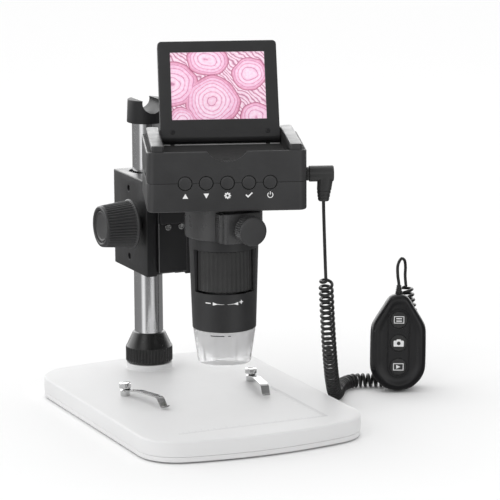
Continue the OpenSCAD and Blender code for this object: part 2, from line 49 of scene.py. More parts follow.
# ------------------------------------------------------------------ camera
YAW, PITCH, ROLL = radians(-24.48), radians(-11.75), radians(-0.35)
cp = cos(-PITCH)
fw = Vector((-sin(YAW) * cos(PITCH), cos(YAW) * cos(PITCH), sin(PITCH)))
rt = Vector((cos(YAW), sin(YAW), 0))
up = rt.cross(fw)
r2 = cos(ROLL) * rt + sin(ROLL) * up
u2 = -sin(ROLL) * rt + cos(ROLL) * up
cam_data = bpy.data.cameras.new("camera")
cam_data.sensor_width = 36
cam_data.lens = 3029 / 500 * 36
cam_data.clip_start = 0.1
cam_data.clip_end = 60
cam = bpy.data.objects.new("camera", cam_data)
scene.collection.objects.link(cam)
m = Matrix.Identity(4)
for i in range(3):
    m[i][0], m[i][1], m[i][2] = r2[i], u2[i], -fw[i]
m[0][3], m[1][3], m[2][3] = -0.89058, -2.05208, 0.59358
cam.matrix_world = m
scene.camera = cam

# ------------------------------------------------------------------ frames of the parts, in mm
BAR_Y = 49.28
HEAD = Matrix.Translation((0, -BAR_Y, 0)) @ Matrix.Rotation(radians(-20.13), 4, "Z")
LID = HEAD @ Matrix.Translation((0, 32, 217.3)) @ Matrix.Rotation(radians(-27.0), 4, "X")
REM_X, REM_Y, REM_YAW, REM_LEAN, REM_ROLL, REM_H = 169.5, -1.0, -22.0, 8.0, 1.5, 76.3
REMOTE = (Matrix.Translation((REM_X, REM_Y, 0.62)) @ Matrix.Rotation(radians(REM_YAW), 4, "Z")
          @ Matrix.Rotation(radians(-REM_LEAN), 4, "X") @ Matrix.Rotation(radians(REM_ROLL), 4, "Y"))
WORLD = Matrix.Identity(4)


# ------------------------------------------------------------------ mesh helpers (mm in, metres out)
def make(name, verts, faces, at=WORLD, mat=None, smooth=True, angle=35):
    me = bpy.data.meshes.new(name)
    me.from_pydata([tuple((at @ Vector(v)) * MM) for v in verts], [], faces)
    me.validate()
    bm = bmesh.new()
    bm.from_mesh(me)
    bmesh.ops.remove_doubles(bm, verts=bm.verts, dist=1e-7)
    bmesh.ops.recalc_face_normals(bm, faces=bm.faces)
    bm.to_mesh(me)
    bm.free()
    o = bpy.data.objects.new(name, me)
    scene.collection.objects.link(o)
    if mat:
        me.materials.append(mat)
    if smooth:
        shade(o, angle)
    return o


def shade(o, angle=35):
    me = o.data
    me.polygons.foreach_set("use_smooth", [True] * len(me.polygons))
    if hasattr(me, "set_sharp_from_angle"):
        me.set_sharp_from_angle(angle=radians(angle))
    return o


def loft(name, rings, at=WORLD, mat=None, closed=True, angle=35, cap=True):
    n = len(rings[0])
    v = [p for r in rings for p in r]
    f = []
    for i in range(len(rings) - 1):
        for k in range(n):
            a, b = i * n + k, i * n + (k + 1) % n
            f.append((a, b, b + n, a + n))
    if cap:
        f.append(tuple(range(n))[::-1])
        f.append(tuple((len(rings) - 1) * n + k for k in range(n)))
    return make(name, v, f, at, mat, True, angle)


def lathe(name, prof, at=WORLD, n=96, mat=None, angle=35, hollow=False):
    """prof is (radius, height) from one end to the other; a closed profile if hollow."""
    rings = [[(r * cos(2 * pi * k / n), r * sin(2 * pi * k / n), z) for k in range(n)] for r, z in prof]
    if hollow:
        rings.append(rings[0])
        return loft(name, rings, at, mat, True, angle, cap=False)
    return loft(name, rings, at, mat, True, angle)


def arc(cx, cy, r, a0, a1, n):
    return [(cx + r * cos(radians(a0 + (a1 - a0) * i / n)), cy + r * sin(radians(a0 + (a1 - a0) * i / n))) for i in range(n + 1)]


def rounded(prof, r=0.5, n=4):
    """round the inner corners of an open (radius, height) profile."""
    out = [prof[0]]
    for i in range(1, len(prof) - 1):
        a, b, c = Vector(prof[i - 1]), Vector(prof[i]), Vector(prof[i + 1])
        la, lc = (a - b).length, (c - b).length
        q = min(r, la * 0.45, lc * 0.45)
        if q < 0.02:
            out.append(tuple(b))
            continue
        p, s = b + (a - b).normalized() * q, b + (c - b).normalized() * q
        for k in range(n + 1):
            t = k / n
            w = (1 - t) ** 2 * p + 2 * t * (1 - t) * b + t * t * s
            out.append((w.x, w.y))
    out.append(prof[-1])
    return out


def outline_rrect(hx, y0, y1, r, n=10):
    pts = []
    for cx, cy, a in ((hx - r, y1 - r, 0), (-hx + r, y1 - r, 90), (-hx + r, y0 + r, 180), (hx - r, y0 + r, 270)):
        pts += arc(cx, cy, r, a, a + 90, n)
    return pts


def inset(pts, d):
    """offset a closed convex outline inwards by d."""
    n = len(pts)
    out = []
    for i in range(n):
        a, b, c = Vector(pts[i - 1]), Vector(pts[i]), Vector(pts[(i + 1) % n])
        if (b - a).length < 1e-6:
            a = Vector(pts[i - 2])
        if (c - b).length < 1e-6:
            c = Vector(pts[(i + 2) % n])
        t1, t2 = (b - a).normalized(), (c - b).normalized()
        n1, n2 = Vector((-t1.y, t1.x)), Vector((-t2.y, t2.x))
        m = (n1 + n2)
        m = m / max(0.3, m.dot(n1)) if m.length > 1e-6 else n1
        out.append((b.x + m.x * d, b.y + m.y * d))
    return out


def edge_profile(z0, z1, rb, rt_, n=5):
    """(inset, z) from the bottom to the top with rounded edges of radius rb and rt_."""
    pr = []
    if rb > 0:
        pr += [(rb - rb * sin(radians(90 * i / n)), z0 + rb - rb * cos(radians(90 * i / n))) for i in range(n + 1)]
    else:
        pr.append((0, z0))
    if rt_ > 0:
        pr += [(rt_ - rt_ * cos(radians(90 * i / n)), z1 - rt_ + rt_ * sin(radians(90 * i / n))) for i in range(n + 1)]
    else:
        pr.append((0, z1))
    return pr


def plate(name, pts, z0, z1, rb, rt_, at=WORLD, mat=None, n=5, angle=35):
    rings = [[(x, y, z) for x, y in (inset(pts, d) if d > 1e-6 else pts)] for d, z in edge_profile(z0, z1, rb, rt_, n)]
    return loft(name, rings, at, mat, True, angle)


def to_y(pts):
    return [(x, z) for x, z in pts]


YUP = Matrix(((1, 0, 0, 0), (0, 0, -1, 0), (0, 1, 0, 0), (0, 0, 0, 1)))  # local (x, y, z) -> (x, -z, y): an outline in XZ, thickness towards -Y


def cyl(name, r, p0, p1, n=64, at=WORLD, mat=None, rb=0.0):
    """a cylinder from p0 to p1 with end rounding rb."""
    a, b = Vector(p0), Vector(p1)
    d = b - a
    h = d.length
    q = d.to_track_quat("Z", "Y").to_matrix().to_4x4()
    prof = [(0.001, 0), (r - rb, 0)] + ([(r - rb + rb * sin(radians(t)), rb - rb * cos(radians(t))) for t in (22, 45, 68, 90)] if rb else [(r, 0)][:0])
    if rb:
        prof += [(r - rb + rb * cos(radians(t)), h - rb + rb * sin(radians(t))) for t in (0, 22, 45, 68, 90)]
    else:
        prof = [(0.001, 0), (r, 0), (r, h)]
    prof.append((0.001, h))
    return lathe(name, prof, at @ Matrix.Translation(a) @ q, n, mat)


def cut(o, cutter, op="DIFFERENCE"):
    md = o.modifiers.new("cut", "BOOLEAN")
    md.operation = op
    md.solver = "EXACT"
    md.object = cutter
    apply_mods(o)
    bpy.data.objects.remove(cutter)
    return o


def apply_mods(o):
    dg = bpy.context.evaluated_depsgraph_get()
    me = bpy.data.meshes.new_from_object(o.evaluated_get(dg), preserve_all_data_layers=True, depsgraph=dg)
    old = o.data
    o.modifiers.clear()
    o.data = me
    bpy.data.meshes.remove(old)
    return o


def bevel(o, w, seg=3, angle=30, harden=True):
    md = o.modifiers.new("bevel", "BEVEL")
    md.width = w * MM
    md.segments = seg
    md.limit_method = "ANGLE"
    md.angle_limit = radians(angle)
    md.harden_normals = harden
    md.use_clamp_overlap = True
    return o


def box(name, a, b, at=WORLD, mat=None, smooth=False):
    (x0, y0, z0), (x1, y1, z1) = a, b
    v = [(x, y, z) for x in (x0, x1) for y in (y0, y1) for z in (z0, z1)]
    f = [(0, 1, 3, 2), (4, 6, 7, 5), (0, 4, 5, 1), (2, 3, 7, 6), (0, 2, 6, 4), (1, 5, 7, 3)]
    return make(name, v, f, at, mat, smooth)


def join(name, objs):
    base = objs[0]
    bm = bmesh.new()
    mats = []
    for o in objs:
        start = len(bm.faces)
        me = o.data
        idx = {}
        for k, mt in enumerate(me.materials):
            if mt not in mats:
                mats.append(mt)
            idx[k] = mats.index(mt)
        tmp = me.copy()
        tmp.transform(o.matrix_world)
        bm.from_mesh(tmp)
        bm.faces.ensure_lookup_table()
        for fc in bm.faces[start:]:
            fc.material_index = idx.get(fc.material_index, 0)
        bpy.data.meshes.remove(tmp)
    me = bpy.data.meshes.new(name)
    bm.to_mesh(me)
    bm.free()
    for mt in mats:
        me.materials.append(mt)
    for o in objs:
        bpy.data.objects.remove(o)
    o = bpy.data.objects.new(name, me)
    scene.collection.objects.link(o)
    return o


def done(o, body, slot, *nodes):
    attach(o, body)
    if nodes:
        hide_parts(*nodes)
    return o


# ------------------------------------------------------------------ materials
def material(name, color, rough, metal=0.0, spec=0.5, coat=0.0, coat_rough=0.1, bumps=(), var=0.0, var_scale=60,
             rough_var=0.0, rough_scale=90, transmission=0.0, ior=1.45, emission=None, aniso=0.0, dust=0.0):
    """bumps: (kind, scale per metre, strength, distance in m)."""
    mt = bpy.data.materials.new(name)
    mt.use_nodes = True
    nt = mt.node_tree
    b = nt.nodes["Principled BSDF"]
    b.inputs["Metallic"].default_value = metal
    b.inputs["Specular IOR Level"].default_value = spec
    b.inputs["Coat Weight"].default_value = coat
    b.inputs["Coat Roughness"].default_value = coat_rough
    b.inputs["IOR"].default_value = ior
    b.inputs["Transmission Weight"].default_value = transmission
    b.inputs["Anisotropic"].default_value = aniso
    b.inputs["Base Color"].default_value = (*color, 1)
    b.inputs["Roughness"].default_value = rough
    tc = nt.nodes.new("ShaderNodeTexCoord")
    if var > 0:
        nz = nt.nodes.new("ShaderNodeTexNoise")
        nz.inputs["Scale"].default_value = var_scale
        nz.inputs["Detail"].default_value = 5
        nz.inputs["Roughness"].default_value = 0.6
        nt.links.new(tc.outputs["Object"], nz.inputs["Vector"])
        rp = nt.nodes.new("ShaderNodeValToRGB")
        rp.color_ramp.elements[0].position = 0.3
        rp.color_ramp.elements[1].position = 0.7
        rp.color_ramp.elements[0].color = (*[max(0, c * (1 - var)) for c in color], 1)
        rp.color_ramp.elements[1].color = (*[min(1, c * (1 + var)) for c in color], 1)
        nt.links.new(nz.outputs["Fac"], rp.inputs["Fac"])
        nt.links.new(rp.outputs["Color"], b.inputs["Base Color"])
    if rough_var > 0:
        nz = nt.nodes.new("ShaderNodeTexNoise")
        nz.inputs["Scale"].default_value = rough_scale
        nz.inputs["Detail"].default_value = 6
        nz.inputs["Roughness"].default_value = 0.65
        nt.links.new(tc.outputs["Object"], nz.inputs["Vector"])
        mr = nt.nodes.new("ShaderNodeMapRange")
        mr.inputs["From Min"].default_value = 0.3
        mr.inputs["From Max"].default_value = 0.7
        mr.inputs["To Min"].default_value = max(0.02, rough - rough_var)
        mr.inputs["To Max"].default_value = min(1, rough + rough_var)
        nt.links.new(nz.outputs["Fac"], mr.inputs["Value"])
        nt.links.new(mr.outputs["Result"], b.inputs["Roughness"])
    prev = None
    for kind, scale, strength, dist in bumps:
        if kind == "noise":
            tx = nt.nodes.new("ShaderNodeTexNoise")
            tx.inputs["Scale"].default_value = scale
            tx.inputs["Detail"].default_value = 3
            out = tx.outputs["Fac"]
        elif kind == "voronoi":
            tx = nt.nodes.new("ShaderNodeTexVoronoi")
            tx.inputs["Scale"].default_value = scale
            out = tx.outputs["Distance"]
        else:
            tx = nt.nodes.new("ShaderNodeTexNoise")
            tx.inputs["Scale"].default_value = scale
            tx.inputs["Detail"].default_value = 4
            mp = nt.nodes.new("ShaderNodeMapping")
            mp.inputs["Scale"].default_value = {"brush_z": (8, 8, 0.08), "brush_x": (0.08, 8, 8), "ring_z": (0.2, 0.2, 12)}[kind]
            nt.links.new(tc.outputs["Object"], mp.inputs["Vector"])
            nt.links.new(mp.outputs["Vector"], tx.inputs["Vector"])
            out = tx.outputs["Fac"]
        if kind in ("noise", "voronoi"):
            nt.links.new(tc.outputs["Object"], tx.inputs["Vector"])
        bp = nt.nodes.new("ShaderNodeBump")
        bp.inputs["Strength"].default_value = strength
        bp.inputs["Distance"].default_value = dist
        nt.links.new(out, bp.inputs["Height"])
        if prev:
            nt.links.new(prev, bp.inputs["Normal"])
        prev = bp.outputs["Normal"]
    if prev:
        nt.links.new(prev, b.inputs["Normal"])
    if emission:
        b.inputs["Emission Color"].default_value = (*emission[0], 1)
        b.inputs["Emission Strength"].default_value = emission[1]
    return mt


def srgb(v):
    v = v / 255
    return v / 12.92 if v <= 0.04045 else ((v + 0.055) / 1.055) ** 2.4


def grey(v):
    c = srgb(v)
    return (c, c, c)


GRAIN = ("noise", 2600, 0.10, 0.0002)
M = {
    "white": material("white_abs", (0.755, 0.755, 0.757), 0.50, spec=0.12, bumps=(("noise", 2200, 0.05, 0.0002), ("noise", 25, 0.02, 0.001)), var=0.012, var_scale=14, rough_var=0.05),
    "black": material("black_abs", (0.035, 0.035, 0.036), 0.36, spec=0.5, bumps=(GRAIN,), var=0.10, var_scale=40, rough_var=0.06),
    "lid": material("black_abs_lid", (0.025, 0.025, 0.026), 0.44, spec=0.5, bumps=(GRAIN,), var=0.10, var_scale=40, rough_var=0.06),
    "black_dark": material("black_abs_deep", (0.012, 0.012, 0.013), 0.48, spec=0.5, bumps=(GRAIN,), var=0.10, var_scale=40, rough_var=0.06),
    "holder": material("holder_coat", (0.054, 0.054, 0.055), 0.30, spec=0.5, bumps=(("noise", 1500, 0.14, 0.0002),), var=0.10, var_scale=50, rough_var=0.07),
    "nut": material("nut_gloss", (0.012, 0.012, 0.012), 0.30, spec=0.5, bumps=(("noise", 1800, 0.06, 0.0001),), var=0.10, var_scale=50, rough_var=0.05),
    # edge: a painted highlight, lighter grey for the bright line of light along a lit edge
    "edge": material("paint_edge_highlight", (0.20, 0.20, 0.20), 0.30, metal=0.6, bumps=(("noise", 1500, 0.10, 0.0002),), var=0.15, var_scale=90, rough_var=0.06),
    # ledge: a painted highlight, light grey for the bright line along the tray ledge's edge
    "ledge": material("ledge_painted_highlight", (0.38, 0.38, 0.38), 0.40, bumps=(GRAIN,), var=0.06, rough_var=0.05),
    "barrel": material("barrel_abs", (0.026, 0.026, 0.027), 0.36, spec=0.5, bumps=(GRAIN,), var=0.06, rough_var=0.05),
    # lip: a painted highlight, lighter grey for the lit inner edge of the display bezel
    "lip": material("frame_painted_highlight", (0.17, 0.17, 0.17), 0.40, bumps=(GRAIN,), var=0.06, rough_var=0.05),
    "knob_disc": material("knob_disc_grey", (0.040, 0.040, 0.041), 0.38, spec=0.5, bumps=(("ring_z", 900, 0.05, 0.0002), GRAIN), var=0.08, var_scale=60, rough_var=0.06),
    "tray": material("tray_texture", (0.030, 0.030, 0.030), 0.72, spec=0.15, bumps=(("voronoi", 1900, 0.12, 0.0002),), var=0.08, var_scale=60, rough_var=0.05),
    "block": material("block_coat", (0.024, 0.024, 0.025), 0.33, spec=0.5, bumps=(("noise", 1500, 0.14, 0.0002),), var=0.10, var_scale=50, rough_var=0.06),
    "paint": material("black_paint", (0.011, 0.011, 0.012), 0.36, spec=0.5, bumps=(("noise", 1500, 0.16, 0.0002),), var=0.10, var_scale=50, rough_var=0.07),
    "gloss": material("black_gloss", (0.008, 0.008, 0.009), 0.30, spec=0.5, bumps=(("noise", 1800, 0.04, 0.0001),), var=0.10, var_scale=50, rough_var=0.05),
    "plug": material("plug_moulding", (0.030, 0.030, 0.030), 0.38, spec=0.5, bumps=(("noise", 1800, 0.06, 0.0001),), var=0.10, var_scale=50, rough_var=0.05),
    "column": material("column_steel", (0.78, 0.78, 0.79), 0.14, metal=1.0, bumps=(("brush_z", 300, 0.03, 0.0002),), var=0.02, var_scale=20, rough_var=0.04),
    "clip": material("clip_steel", (0.37, 0.37, 0.37), 0.17, metal=1.0, bumps=(("noise", 300, 0.04, 0.0002),), var=0.04, rough_var=0.05),
    "chrome": material("chrome", (0.62, 0.62, 0.62), 0.15, metal=1.0, bumps=(("noise", 500, 0.04, 0.0002),), var=0.03, rough_var=0.04),
    "screw": material("screw_zinc", (0.30, 0.30, 0.30), 0.26, metal=1.0, bumps=(("noise", 900, 0.06, 0.0002),), var=0.05, rough_var=0.06),
    "steel": material("plain_steel", (0.50, 0.50, 0.51), 0.35, metal=1.0, bumps=(("ring_z", 400, 0.1, 0.0002),), var=0.05, rough_var=0.08),
    "brass": material("brass", (0.62, 0.45, 0.20), 0.33, metal=1.0, bumps=(("ring_z", 400, 0.1, 0.0002),), var=0.05, rough_var=0.08),
    "alloy": material("alloy", (0.28, 0.28, 0.29), 0.4, metal=1.0, bumps=(("ring_z", 500, 0.1, 0.0002),), var=0.05, rough_var=0.06),
    "rubber": material("rubber", (0.034, 0.034, 0.034), 0.58, spec=0.4, bumps=(("noise", 2400, 0.2, 0.0002),), var=0.12, rough_var=0.06),
    "cord": material("cord_jacket", (0.018, 0.018, 0.018), 0.30, spec=0.5, bumps=(("noise", 1800, 0.08, 0.0002),), var=0.15, var_scale=80, rough_var=0.07),
    "board": material("board_green", (0.02, 0.10, 0.04), 0.35, coat=0.5, bumps=(("voronoi", 500, 0.15, 0.0003),), var=0.2, var_scale=120, rough_var=0.06),
    "foil": material("cell_foil", (0.55, 0.56, 0.60), 0.3, metal=0.8, bumps=(("noise", 80, 0.3, 0.001),), var=0.05, rough_var=0.08),
    "led": material("led_white", (0.85, 0.85, 0.75), 0.25, bumps=(("noise", 800, 0.1, 0.0002),), var=0.03, rough_var=0.05),
    "pad": material("pad_rubber", (0.06, 0.06, 0.06), 0.75, bumps=(("voronoi", 700, 0.3, 0.0005),), var=0.1, rough_var=0.06),
    "ink": material("ruler_ink", (0.50, 0.50, 0.51), 0.5, var=0.10, var_scale=300, rough_var=0.05, bumps=(("noise", 2500, 0.05, 0.0001),)),
    "mark": material("white_print", (0.84, 0.84, 0.84), 0.5, var=0.03, var_scale=600, rough_var=0.05, bumps=(("noise", 2500, 0.05, 0.0001),)),
    "clear": material("clear_plastic", (0.985, 0.985, 0.99), 0.13, transmission=0.64, ior=1.40, bumps=(("noise", 60, 0.03, 0.0006),), rough_var=0.04),
    "glass": material("lens_glass", (0.9, 0.94, 0.97), 0.03, transmission=1.0, ior=1.52, bumps=(("noise", 40, 0.01, 0.0003),), rough_var=0.02),
}
CAD_MATERIAL = {
    "base_pad": "pad", "base_bottom": "white", "base_shell": "white", "base_weight": "steel", "base_screws": "steel",
    "column": "column", "column_bolt": "steel", "column_cap": "black", "lock_collar": "black", "clip_left": "clip",
    "clip_right": "clip", "clip_posts": "chrome", "clamp_bush": "black_dark", "block_housing": "paint", "block_screws": "steel",
    "block_lock_knob": "black", "pinion_shaft": "steel", "knob_left": "black", "knob_right": "black",
    "slide_plate": "paint", "rack": "brass", "slide_screws": "screw", "ring_holder": "paint", "ring_clamp_knob": "black",
    "head_lower": "black", "head_upper": "black", "head_screws": "steel", "main_board": "board", "battery": "foil",
    "button_board": "board", "jack_socket": "gloss", "side_sockets": "chrome", "btn_up": "black", "btn_down": "black",
    "btn_menu": "black", "btn_ok": "black", "btn_power": "black", "barrel": "black", "barrel_core": "alloy",
    "focus_wheel": "rubber", "lens_carrier": "alloy", "objective_lens": "glass", "image_sensor": "board",
    "led_ring": "led", "shroud": "clear", "lid_bezel": "black", "lcd_panel": "gloss", "lid_back": "black",
    "hinge_pins": "black_dark", "plug": "gloss", "remote_front": "gloss", "remote_back": "gloss", "remote_board": "board",
    "remote_btn_1": "rubber", "remote_btn_2": "rubber", "remote_btn_3": "rubber", "remote_relief": "cord",
    "cord_lead": "cord", "cord_coil": "cord", "cord_tail": "cord",
}
for name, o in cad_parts.items():
    o.data.materials.clear()
    o.data.materials.append(M[CAD_MATERIAL[name]])
    shade(o, 30)

# ------------------------------------------------------------------ the cord: lead, curly run, tail
WIRE, COIL, COIL_Z = 2.4, 11.4, 11.4 / 2
psi = radians(-20.13)
LEAD = Vector((71.3 * cos(psi) + 28 * sin(psi), -BAR_Y + 71.3 * sin(psi) - 28 * cos(psi), 178.7))
SAG_A, DIR = 57.0, Vector((0.5185, 0.8551))
u = 1 + (LEAD.z - 4 - COIL_Z) / SAG_A
SAG_S = SAG_A * log(u + sqrt(u * u - 1))
SAG_L = SAG_A * math.sinh(SAG_S / SAG_A)
TOUCH = Vector((LEAD.x + DIR.x * SAG_S, LEAD.y + DIR.y * SAG_S))


def hang(l):
    s = SAG_A * math.asinh(l / SAG_A)
    return Vector((TOUCH.x - DIR.x * s, TOUCH.y - DIR.y * s, COIL_Z + sqrt(SAG_A * SAG_A + l * l) - SAG_A))


def from_foot(a, b, c):
    t = radians(REM_YAW)
    return Vector((REM_X + a * cos(t) - b * sin(t), REM_Y + a * sin(t) + b * cos(t), c))


FLOOR = [hang(8), Vector((TOUCH.x, TOUCH.y, COIL_Z)), Vector((126, 12, COIL_Z)), Vector((135, 20.5, COIL_Z)),
         from_foot(-31, 14.3, COIL_Z), from_foot(-15, 13.9, COIL_Z), from_foot(0, 14.1, COIL_Z), from_foot(9.5, 14.5, 6.8),
         from_foot(15.3, 15.3, 14), from_foot(16.5, 16.9, 26), from_foot(14.8, 19.1, 42), from_foot(12.2, 21.3, 58), from_foot(9.9, 23.2, 72),
         from_foot(8.8, 24.3, 80), from_foot(8, 24.9, 88)]
REL = REM_H + 6.8
TOP = from_foot(REL * sin(radians(REM_ROLL)), REL * cos(radians(REM_ROLL)) * sin(radians(REM_LEAN)), 0.62 + REL * cos(radians(REM_ROLL)) * cos(radians(REM_LEAN)))
TAIL = [from_foot(2.0, 10.3, 74), TOP, from_foot(1.3, 12.6, 90.5), from_foot(1.6, 15, 98), from_foot(4.6, 18.8, 102.4), from_foot(7.6, 22.8, 100),
        from_foot(8.5, 25, 94), from_foot(8.3, 25.1, 87.5), from_foot(8.8, 24.3, 80), from_foot(9.9, 23.2, 72)]


def catmull(q, n):
    out = []
    for i in range(1, len(q) - 2):
        a, b, c, d = q[i - 1], q[i], q[i + 1], q[i + 2]
        for k in range(n):
            t = k / n
            out.append(0.5 * (2 * b + (c - a) * t + (2 * a - 5 * b + 4 * c - d) * t * t + (-a + 3 * b - 3 * c + d) * t ** 3))
    out.append(q[-2])
    return out


def resample(p, step):
    acc = [0.0]
    for i in range(1, len(p)):
        acc.append(acc[-1] + (p[i] - p[i - 1]).length)
    n = max(2, int(round(acc[-1] / step)))
    out, j = [], 0
    for k in range(n + 1):
        s = acc[-1] * k / n
        while j < len(p) - 2 and acc[j + 1] < s:
            j += 1
        t = (s - acc[j]) / max(1e-9, acc[j + 1] - acc[j])
        out.append(p[j].lerp(p[j + 1], min(1, max(0, t))))
    return out, acc[-1]


def frames(p):
    us, vs = [], []
    u0 = Vector((1, 0.2, 0.1))
    for i in range(len(p)):
        t = (p[min(i + 1, len(p) - 1)] - p[max(i - 1, 0)]).normalized()
        u0 = (u0 - t * u0.dot(t)).normalized()
        us.append(u0.copy())
        vs.append(t.cross(u0))
    return us, vs


def tube(name, p, r, mat, sides=10, taper=None):
    us, vs = frames(p)
    rings = []
    for i, c in enumerate(p):
        rr = r if taper is None else taper(i / (len(p) - 1)) * r
        rings.append([tuple(c + rr * (cos(2 * pi * k / sides) * us[i] + sin(2 * pi * k / sides) * vs[i])) for k in range(sides)])
    return loft(name, rings, WORLD, mat, True, 60)


def length_of(p):
    return sum((p[i] - p[i - 1]).length for i in range(1, len(p)))


# the straight lead
LEAD_LEN = 60.0
lead_path = [LEAD, LEAD - Vector((0, 0, 2.0))]
lead_path += [hang(SAG_L - 3 - l) for l in [k * 3.0 for k in range(20)]]
lead_path = resample(catmull([lead_path[0] + Vector((0, 0, 2))] + lead_path + [hang(SAG_L - 63)], 4), 1.6)[0]
# centreline of the curly run, from the lead's end to the tail
run = [hang(SAG_L - LEAD_LEN - l) for l in [k * 2.0 for k in range(int((SAG_L - LEAD_LEN) / 2.0))]] + [hang(0)]
floor_run = catmull([Vector((*(TOUCH - DIR * 8), COIL_Z + 0.5))] + FLOOR[1:], 14)
run, run_len = resample(run + floor_run[1:], 0.4)
hang_len = SAG_L - LEAD_LEN
us, vs = frames(run)
acc, turns = 0.0, [0.0]
for i in range(1, len(run)):
    ds = (run[i] - run[i - 1]).length
    s = acc + ds / 2
    w = min(1, max(0, s / hang_len))
    rest = 4.05 + 0.2 * max(0, (s - (run_len - 48)) / 48)
    pitch = (5.3 - 1.2 * w) if s < hang_len - 12 else (4.1 + (rest - 4.1) * min(1, (s - hang_len + 12) / 24))
    acc += ds
    turns.append(turns[-1] + ds / pitch)
HELIX = (COIL - WIRE) / 2


def helix_between(s0, s1, per_turn=22):
    """points of the helix between two arc lengths of the run."""
    n = len(run) - 1
    i0, i1 = s0 / run_len * n, s1 / run_len * n

    def at(f):
        i = min(n - 1, int(f))
        t = f - i
        return i, t

    def turn(f):
        i, t = at(f)
        return turns[i] + (turns[i + 1] - turns[i]) * t

    k0, k1 = turn(i0), turn(i1)
    steps = max(8, int(round((k1 - k0) * per_turn)))
    out = []
    f = i0
    for k in range(steps + 1):
        want = k0 + (k1 - k0) * k / steps
        while f < n and turn(f) < want - 1e-9:
            nf = min(n, f + 0.25)
            a, b = turn(f), turn(nf)
            if b >= want:
                f = f + (nf - f) * (want - a) / max(1e-9, b - a)
                break
            f = nf
        i, t = at(f)
        c = run[i].lerp(run[i + 1], t)
        uu, vv = us[i].lerp(us[i + 1], t).normalized(), vs[i].lerp(vs[i + 1], t).normalized()
        tt = turn(f)
        e = min(tt, turns[-1] - tt)
        r = HELIX * (1 if e >= 0.8 else (0.5 - 0.5 * cos(pi * e / 0.8)))
        out.append(c + r * (cos(2 * pi * tt) * uu + sin(2 * pi * tt) * vv))
    return out


S1, S2, S3 = 18.0, 83.0, hang_len - 9
cord_parts = []
lead = tube("cord_lead_wire", lead_path, WIRE / 2, M["cord"])
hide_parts("cord_lead")
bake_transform(lead)
cord_parts.append(lead)
total = length_of(lead_path)
stages = [("cord_coil_upper", 0.0, S1, ("slide", "block")), ("cord_coil_middle", S1, S2, ("block", "bush")),
          ("cord_coil_lower", S2, S3, ("bush", "root")), ("cord_coil_floor", S3, run_len, None)]
for nm, s0, s1, pair in stages:
    p = helix_between(s0, s1)
    o = tube(nm, p, WIRE / 2, M["cord"], 8)
    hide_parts("cord_coil")
    a, b = run[int(s0 / run_len * (len(run) - 1))], run[min(len(run) - 1, int(s1 / run_len * (len(run) - 1)))]
    if pair:
        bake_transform(o)
    else:
        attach(o, "root")
    cord_parts.append(o)
    total += length_of(p)
tail_path = resample(catmull(TAIL, 12), 1.5)[0]
end = run[-1]
tail_path = [q for q in tail_path]
tail = tube("cord_tail_wire", tail_path, WIRE / 2, M["cord"])
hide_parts("cord_tail")
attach(tail, "root")
total += length_of(tail_path)
print("CORD total length mm", round(total), "turns", round(turns[-1], 1), "run", round(run_len), "hang", round(hang_len), "tail", round(length_of(tail_path)))

# ------------------------------------------------------------------ more helpers
def ribbed(name, prof, count, at=WORLD, mat=None, per=6, angle=50, sharp=1.0):
    """prof: (radius, height, rib depth). Ribs run along the axis."""
    n = count * per
    rings = []
    for r, z, d in prof:
        ring = []
        for k in range(n):
            ph = (k % per) / per
            w = 0.5 + 0.5 * cos(2 * pi * ph)
            w = w ** sharp
            rr = r - d * (1 - w)
            ring.append((rr * cos(2 * pi * k / n), rr * sin(2 * pi * k / n), z))
        rings.append(ring)
    return loft(name, rings, at, mat, True, angle)


def frame_to(origin, zdir, xdir=(1, 0, 0)):
    z = Vector(zdir).normalized()
    x = Vector(xdir)
    x = (x - z * x.dot(z)).normalized()
    y = z.cross(x)
    mt = Matrix.Identity(4)
    for i in range(3):
        mt[i][0], mt[i][1], mt[i][2], mt[i][3] = x[i], y[i], z[i], origin[i]
    return mt


def flat_shape(name, loops, at, mat, thick=0.06):
    """thin printed shape: loops are closed outlines in XZ (seen from -Y); each is extruded by thick towards -Y."""
    objs = []
    for j, lp in enumerate(loops):
        n = len(lp)
        v = [(x, 0, z) for x, z in lp] + [(x, -thick, z) for x, z in lp]
        f = [tuple(range(n)), tuple(range(2 * n - 1, n - 1, -1))]
        f += [(k, (k + 1) % n, (k + 1) % n + n, k + n) for k in range(n)]
        objs.append(make(f"{name}_{j}", v, f, at, mat, False))
    return join(name, objs) if len(objs) > 1 else objs[0]


def ring_loop(cx, cz, ro, ri, a0, a1, n=24):
    out = arc(cx, cz, ro, a0, a1, n)
    return out + arc(cx, cz, ri, a1, a0, n)


# ------------------------------------------------------------------ base
CORNER_X, CORNER_YF, CORNER_YB, BASE_R = 88 - 31.4, -92.2, 93.1, 31.4


def base_outline():
    pts = []
    a = math.degrees(math.acos(0.213))
    half = math.degrees(math.asin(63.3 / 284))
    pts += arc(0, 154, 284, -90 - half, -90 + half, 24)[1:-1]
    pts += arc(CORNER_X, CORNER_YF, BASE_R, -a, 0, 14)
    pts += arc(CORNER_X, CORNER_YB, BASE_R, 0, a, 14)
    half = math.degrees(math.asin(63.3 / 322))
    pts += arc(0, -192.3, 322, 90 - half, 90 + half, 24)[1:-1]
    pts += arc(-CORNER_X, CORNER_YB, BASE_R, 180 - a, 180, 14)
    pts += arc(-CORNER_X, CORNER_YF, BASE_R, 180, 180 + a, 14)
    return pts


